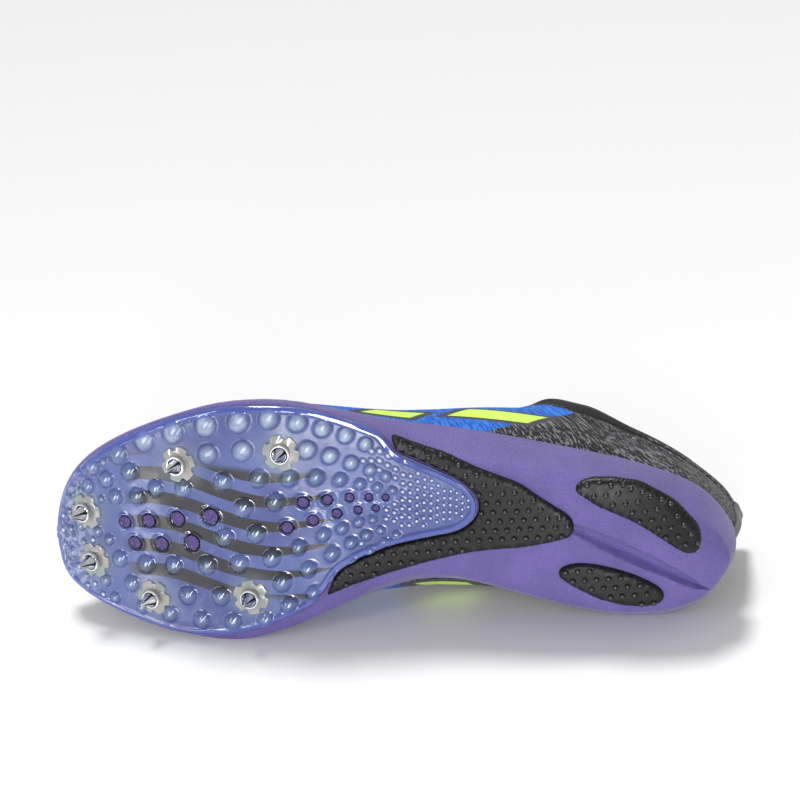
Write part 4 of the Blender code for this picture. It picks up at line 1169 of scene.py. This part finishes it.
def make_receptacle(number, material):
    # A lobed disc with a softened edge, let a little into the plate.
    x, y = SPIKES[number - 1]
    bpy.ops.mesh.primitive_cylinder_add(vertices=120, radius=CUP_RADIUS, depth=CUP_DEPTH,
                                        end_fill_type="NGON")
    piece = added("receptacle_cup_%d" % number)
    for v in piece.data.vertices:
        angle = math.atan2(v.co.y, v.co.x)
        notch = float(smooth_step(math.cos(CUP_LOBES * angle + number), 0.35, 0.80))
        reach = 1.02 - 0.20 * notch
        v.co = (v.co.x * reach, v.co.y * reach, v.co.z + CUP_DEPTH / 2)
    modify(piece, "BEVEL", width=0.00022, segments=2)
    piece.data.transform(SHOE @ foot_matrix(x, y, PLATE_FACE - 0.0009))
    smooth_below(35)
    settle(piece, material, "receptacle_clear", "receptacle_%d" % number)


def make_spike(number, material):
    # A flanged pin with a four-sided point, polished, its facets painted bright and dark as reflections and
    # its sunk ring painted dark as shade.
    x, y = SPIKES[number - 1]
    normal = foam_face.normal(x, y)
    seat = Vector((x, y, foam_face.face(x, y).z)) + normal * (PLATE_FACE + CUP_DEPTH + PIN_LIFT)
    leaning = (normal + Vector((math.tan(PIN_LEAN), 0, 0))).normalized()
    bpy.ops.mesh.primitive_circle_add(vertices=48, radius=FLANGE_RADIUS, fill_type="NGON")
    piece = added("spike_pin_%d" % number)
    edit_all(piece)
    for rise, shrink in PIN_STEPS:
        extrude(rise, shrink)
    leave_edit()
    painted_facet_tone = piece.data.attributes.new("painted_facet_tone", "FLOAT", "POINT")
    for v in piece.data.vertices:
        angle = math.atan2(v.co.y, v.co.x) + 0.4 * number
        if v.co.z > PIN_ROOT:
            # from a circle at the root to a square towards the tip
            corner = abs(math.fmod(abs(angle), math.pi / 2) - math.pi / 4)
            square = min(1.0, (v.co.z - PIN_ROOT) / 0.0010)
            keep = 1 - square * (1 - 0.74 / math.cos(math.pi / 4 - corner))
            v.co.x *= keep
            v.co.y *= keep
        # the painted tone: dark and bright facets by angle, and dark in the sunk ring as painted shade
        tone = 0.5 + 0.5 * math.sin(4 * angle) if v.co.z > 0.0012 else 1.0
        sunk = 0.0030 < math.hypot(v.co.x, v.co.y) < 0.0034
        painted_facet_tone.data[v.index].value = 0.0 if sunk else tone
    piece.data.transform(SHOE @ stand(seat, leaning))
    smooth_below(28)
    settle(piece, material, "spike_steel", "spike_%d" % number)


# The upper

# The opening's edge in the shoe's frame, from the heel to the throat's front end:
# x is a share of LENGTH, y of BALL_WIDTH on each side, z of INSTEP_HEIGHT.
OPENING_ROWS = (
    (-0.008, -0.085, -0.085, 0.930),
    (0.012, 0.012, -0.175, 0.905),
    (0.084, 0.190, -0.262, 0.790),
    (0.158, 0.295, -0.292, 0.752),
    (0.232, 0.358, -0.305, 0.830),
    (0.281, 0.345, -0.290, 0.955),
    (0.313, 0.300, -0.245, 0.998),
    (0.366, 0.215, -0.185, 0.940),
    (0.440, 0.172, -0.160, 0.838),
    (0.517, 0.144, -0.142, 0.740),
    (0.570, 0.115, -0.125, 0.678),
    (0.599, 0.078, -0.096, 0.647),
    (0.615, 0.036, -0.056, 0.632),
    (0.620, -0.010, -0.010, 0.628),
)
# The lip's height over the ground line, along LENGTH.
LIP_ROWS = (
    (0.000, 0.0279), (0.032, 0.0276), (0.109, 0.0263), (0.165, 0.0258), (0.232, 0.0252),
    (0.305, 0.0246), (0.390, 0.0236), (0.446, 0.0226), (0.509, 0.0212), (0.579, 0.0190),
    (0.646, 0.0168), (0.716, 0.0154), (0.789, 0.0172), (0.860, 0.0215), (0.919, 0.0265),
    (0.965, 0.0315), (0.9895, 0.0346), (1.000, 0.0360),
)
# Soft troughs and ridges of the knit in millimetres: start and end in the shoe's frame,
# width, and depth, which is negative for a ridge.
CREASES = (
    ((196, 33, 40), (186, -2, 56), 5.0, 0.9),
    ((208, 34, 34), (203, -4, 50), 5.5, -0.6),
    ((219, 32, 32), (214, -6, 45), 5.0, 0.7),
    ((196, -40, 36), (186, -6, 56), 5.0, 0.8),
    ((208, -42, 32), (203, -8, 49), 5.5, -0.5),
    ((36, 34, 48), (70, 34, 40), 6.0, 0.7),
    ((36, -34, 46), (72, -36, 40), 6.0, 0.7),
    ((24, 22, 60), (52, 31, 54), 5.0, 0.6),
)


def opening_rows():
    # The opening's rows in metres: x, both ys and z.
    return [(x * LENGTH, a * BALL_WIDTH, b * BALL_WIDTH, z * INSTEP_HEIGHT)
            for x, a, b, z in OPENING_ROWS]


def opening_points():
    # Points along both sides of the opening, five to a row.
    rows = opening_rows()
    points = []
    for one, two in zip(rows, rows[1:]):
        for k in range(5):
            x, lateral, medial, z = [a + (b - a) * k / 5 for a, b in zip(one, two)]
            points += [Vector((x, lateral, z)), Vector((x, medial, z))]
    return points


def opening_loop(step=0.0022):
    # The opening's edge as one closed run: lateral side forward, medial side back.
    rows = opening_rows()
    curves = [smooth_curve(range(len(rows)), [row[k] for row in rows]) for k in range(4)]
    fine = np.linspace(0, len(rows) - 1, 240)
    lateral = [Vector((curves[0](t), curves[1](t), curves[3](t))) for t in fine]
    medial = [Vector((curves[0](t), curves[2](t), curves[3](t))) for t in fine]
    run = lateral + medial[-2:0:-1]
    length = [0.0]
    for one, two in zip(run, run[1:] + run[:1]):
        length.append(length[-1] + (two - one).length)
    closed = np.array([tuple(v) for v in run + run[:1]])
    at = np.linspace(0, length[-1], int(length[-1] / step), endpoint=False)
    return [Vector([float(np.interp(a, length, closed[:, k])) for k in range(3)]) for a in at]


def shoe_middle(x):
    # The point inside the shoe that the upper wraps round at x.
    return Vector((min(max(x, 0.045), 0.235), -0.002, 0.020))


def crease_move(point):
    # How far the creases push a point of the knit outwards, in millimetres.
    move = 0.0
    for start, end, width, depth in CREASES:
        start, along = Vector(start), Vector(end) - Vector(start)
        t = max(0.0, min(1.0, (point - start).dot(along) / along.length_squared))
        away = (point - (start + along * t)).length
        if away < 2.2 * width:
            fade = math.sin(math.pi * min(max(t, 0.06), 0.94)) ** 0.5
            move -= depth * fade * math.exp(-(away / width) ** 2)
    return move


def make_upper(material):
    # The knit, with what its material asks for at each vertex: the distance to the
    # opening, the height over the lip, and whether it is the lining.
    piece = copy_of("upper", "knit_upper", 2, 50)
    mesh = piece.data
    points = opening_points()
    xs = [row[0] * LENGTH for row in LIP_ROWS]
    zs = [row[1] for row in LIP_ROWS]
    hem, rise, lining = [mesh.attributes.new(name, "FLOAT", "POINT").name
                         for name in ("hem", "rise", "lining")]
    normals = [v.normal.copy() for v in mesh.vertices]
    low_z = min(v.co.z for v in mesh.vertices)
    for v, normal in zip(mesh.vertices, normals):
        p = UNSHOE @ v.co
        near = min((p - q).length for q in points)
        inwards = (UNSHOE.to_3x3() @ normal).dot(p - shoe_middle(p.x)) < -0.0005
        mesh.attributes[hem].data[v.index].value = near
        mesh.attributes[rise].data[v.index].value = p.z - float(np.interp(p.x, xs, zs))
        mesh.attributes[lining].data[v.index].value = 1.0 if inwards else 0.0
        if near > 0.008 and v.co.z > low_z + 0.002:
            v.co += normal * crease_move(p * 1000) / 1000
    settle(piece, material, "upper_knit", "upper")
    return piece


def tube(name, points, radius, sides):
    # A closed tube along the points.
    curve = bpy.data.curves.new(name, "CURVE")
    curve.dimensions = "3D"
    curve.bevel_depth = radius
    curve.bevel_resolution = sides
    spline = curve.splines.new("POLY")
    spline.points.add(len(points) - 1)
    for spot, p in zip(spline.points, points):
        spot.co = (*p, 1)
    spline.use_cyclic_u = True
    placed(name, curve)
    bpy.ops.object.convert(target="MESH")
    bpy.ops.object.shade_smooth()
    return bpy.context.object


def make_binding(material):
    # A rolled knit edge that closes over the wall all round the opening.
    inner = []
    for p in opening_loop():
        inward = Vector((0.010 if p.x < 0.02 else 0.0, -p.y - 0.002, 0))
        inner.append(p + inward.normalized() * 0.0009 if inward.length > 0.0001 else p)
    piece = tube("collar_binding", inner, 0.00135, 4)
    piece.data.transform(SHOE)
    settle(piece, material, "upper_knit")


# The lace in metres: its width and thickness, its section in shares of them, and the
# ring of each eyelet.
LACE_WIDTH = 0.0056
LACE_THICK = 0.0016
LACE_SECTION = (
    (-0.50, -0.25), (-0.42, -0.50), (0.00, -0.56), (0.42, -0.50), (0.50, -0.25),
    (0.50, 0.25), (0.42, 0.50), (0.00, 0.56), (-0.42, 0.50), (-0.50, 0.25),
)
RING_RADIUS = 0.0026
RING_WIRE = 0.00055


def bar_path(node):
    # The middle line of a lace bar, lateral end first, in the shoe's frame.
    corners = sorted(corners_of(node), key=lambda c: -c.y)
    groups = [[corners[k] for k in part] for part in np.array_split(np.arange(len(corners)), 11)]
    return [sum(group, Vector()) / len(group) for group in groups]


def make_eyelet(name, spot, normal, material):
    # A small ring that lies on the knit.
    bpy.ops.mesh.primitive_torus_add(major_radius=RING_RADIUS, minor_radius=RING_WIRE,
                                     major_segments=28, minor_segments=8)
    ring = added(name)
    ring.data.transform(SHOE @ stand(spot + normal * 0.0002, normal))
    bpy.ops.object.shade_smooth()
    settle(ring, material, "upper_knit")


def make_lace(number, tree, material, ring_material):
    # A flat woven run over the tongue whose ends turn down into two eyelets.
    path = bar_path("lace_bar_%d" % number)
    ends = []
    for tip in (path[0], path[-1]):
        spot, normal = tree.find_nearest(tip)[:2]
        if normal.dot(tip - Vector((tip.x, -0.003, 0.03))) < 0:
            normal = -normal
        ends.append((spot, normal))
    (first, up), (last, last_up) = ends
    front = [first - up * 0.0008, first + up * 0.0010]
    back = [last + last_up * 0.0010, last - last_up * 0.0008]
    route = front + path[1:-1] + back
    wides = [0.62, 0.74] + [1.0] * (len(route) - 4) + [0.74, 0.62]
    bm = bmesh.new()
    rings = []
    for k, p in enumerate(route):
        along = (route[min(k + 1, len(route) - 1)] - route[max(k - 1, 0)]).normalized()
        across = Vector((1, 0, 0))
        across = (across - along * across.dot(along)).normalized()
        rise = along.cross(across).normalized() * LACE_THICK
        across = across * (LACE_WIDTH * wides[k])
        rings.append([bm.verts.new(p + across * u + rise * v) for u, v in LACE_SECTION])
    skin(bm, rings)
    lace = built("lace_run_%d" % number, bm)
    modify(lace, "SUBSURF", levels=2, render_levels=2)
    bpy.ops.object.shade_smooth()
    lace.data.transform(SHOE)
    settle(lace, material, "lace_cord", "lace_bar_%d" % number)
    for side, (spot, normal) in zip(("lateral", "medial"), ends):
        make_eyelet("eyelet_%s_%d" % (side, number), spot, normal, ring_material)


# One stitch in metres: half its length, and its radius across and away from the knit.
# Its rings are given as shares of the length and of the radius.
STITCH_LENGTH = 0.00095
STITCH_WIDE = 0.00034
STITCH_HIGH = 0.00030
STITCH_RINGS = ((-1.0, 0.35), (-0.6, 1.0), (0.6, 1.0), (1.0, 0.35))


def stitch_aim(p):
    # A spot outside the opening's edge, beside p: close below the collar, and farther
    # out round the throat.
    out = Vector((-1.0 if p.x < 0.02 else 0.0, p.y + 0.002, 0))
    out = out.normalized() if out.length > 0.001 else Vector((1, 0, 0))
    if p.x > 0.172 and abs(p.y + 0.002) < 0.007:
        out = Vector((1, 0, 0))
    reach, drop = (0.0062, 0.0030) if p.x > 0.1 else (0.0020, 0.0078)
    return p + out * reach - Vector((0, 0, drop))


def make_stitches(tree, material):
    # A row of stitches below the binding and the eyestay.
    bm = bmesh.new()
    loop = opening_loop(0.0028)
    for p, q in zip(loop, loop[1:] + loop[:1]):
        aim = stitch_aim(p)
        spot, normal = tree.find_nearest(aim)[:2]
        if spot is None or (spot - aim).length > 0.006:
            continue
        if normal.dot(spot - shoe_middle(spot.x)) < 0:
            continue
        ahead = (q - p).normalized()
        ahead = (ahead - normal * ahead.dot(normal)).normalized()
        across = normal.cross(ahead)
        rings = []
        for along, wide in STITCH_RINGS:
            middle = spot + normal * 0.00012 + ahead * (along * STITCH_LENGTH)
            rings.append([bm.verts.new(middle + across * (math.cos(k * math.pi / 3) * STITCH_WIDE * wide)
                                       + normal * (math.sin(k * math.pi / 3) * STITCH_HIGH * wide))
                          for k in range(6)])
        skin(bm, rings)
    piece = built("opening_stitches", bm)
    bpy.ops.object.shade_smooth()
    piece.data.transform(SHOE)
    settle(piece, material, "upper_knit")


# The heel tab in metres: the y of its middle, its foot's height and width, how much
# narrower its top is, and its height.
TAB_MIDDLE = -0.009
TAB_FOOT = 0.034
TAB_WIDTH = 0.017
TAB_TAPER = 0.005
TAB_HEIGHT = 0.045


def make_heel_tab(tree, material):
    # A folded strip sewn up the back of the heel.
    bpy.ops.mesh.primitive_grid_add(x_subdivisions=12, y_subdivisions=30, size=1)
    tab = added("heel_tab")
    for v in tab.data.vertices:
        side, up = v.co.x, v.co.y + 0.5
        aim = Vector((-0.012, TAB_MIDDLE + side * (TAB_WIDTH - TAB_TAPER * up), TAB_FOOT + TAB_HEIGHT * up))
        spot = tree.ray_cast(aim, Vector((1, 0, 0)))[0] or tree.find_nearest(aim)[0]
        edge = min(1.0, (0.5 - abs(side)) / 0.09, up / 0.04, (1 - up) / 0.04)
        v.co = spot - Vector((1, 0, 0)) * (0.0003 + 0.0009 * math.sqrt(max(edge, 0.0)))
    modify(tab, "SOLIDIFY", thickness=0.0008, offset=0)
    smooth_below(60)
    tab.data.transform(SHOE)
    settle(tab, material, "upper_knit")


def make_sole():
    settle(copy_of("midsole", "foam_midsole", 1, 35), foam_material(), "midsole_foam", "midsole")
    studs = stud_places()
    studs += tail_places(studs) + toe_places(studs)
    make_plate(studs, plate_material())
    make_windows(window_material())
    rubber = rubber_material("black_rubber", 0.0)
    tread = rubber_material("tread_rubber", 0.8)
    make_pad("midfoot_rubber", "midfoot", RUBBER_FACE, rubber, tread)
    make_pad("lateral_heel_pod", "lateral_pod", POD_FACE, rubber, tread)
    make_pad("medial_heel_pod", "medial_pod", POD_FACE, rubber, tread)
    cup = receptacle_material()
    steel = steel_material()
    for number in range(1, 7):
        make_receptacle(number, cup)
        make_spike(number, steel)


def make_top():
    tree = tree_of(make_upper(knit_material()).data)
    black = cloth_material("black_binding", (0.006, 0.006, 0.007), (0.022, 0.022, 0.025), 0.85, 1.2)
    thread = cloth_material("grey_thread", (0.05, 0.05, 0.055), (0.12, 0.12, 0.13), 0.7, 2.0)
    twill = cloth_material("heel_tab_cloth", (0.010, 0.010, 0.012), (0.050, 0.048, 0.056), 0.9, 0.9)
    knit = cloth_material("tongue_knit", (0.008, 0.008, 0.010), (0.055, 0.055, 0.062), 0.9, 0.8)
    brushed = cloth_material("insole_brushed", (0.014, 0.014, 0.016), (0.05, 0.05, 0.056), 0.9, 1.6)
    make_binding(black)
    make_stitches(tree, thread)
    make_heel_tab(tree, twill)
    lace = lace_material()
    ring = eyelet_material()
    for number in range(1, 7):
        make_lace(number, tree, lace, ring)
    settle(copy_of("tongue", "tongue_sheet", 2, 70), knit, "tongue_cloth", "tongue")
    settle(copy_of("insole", "insole_pad"), brushed, "insole_cloth", "insole")


make_camera()
make_stage()
make_sole()
make_top()
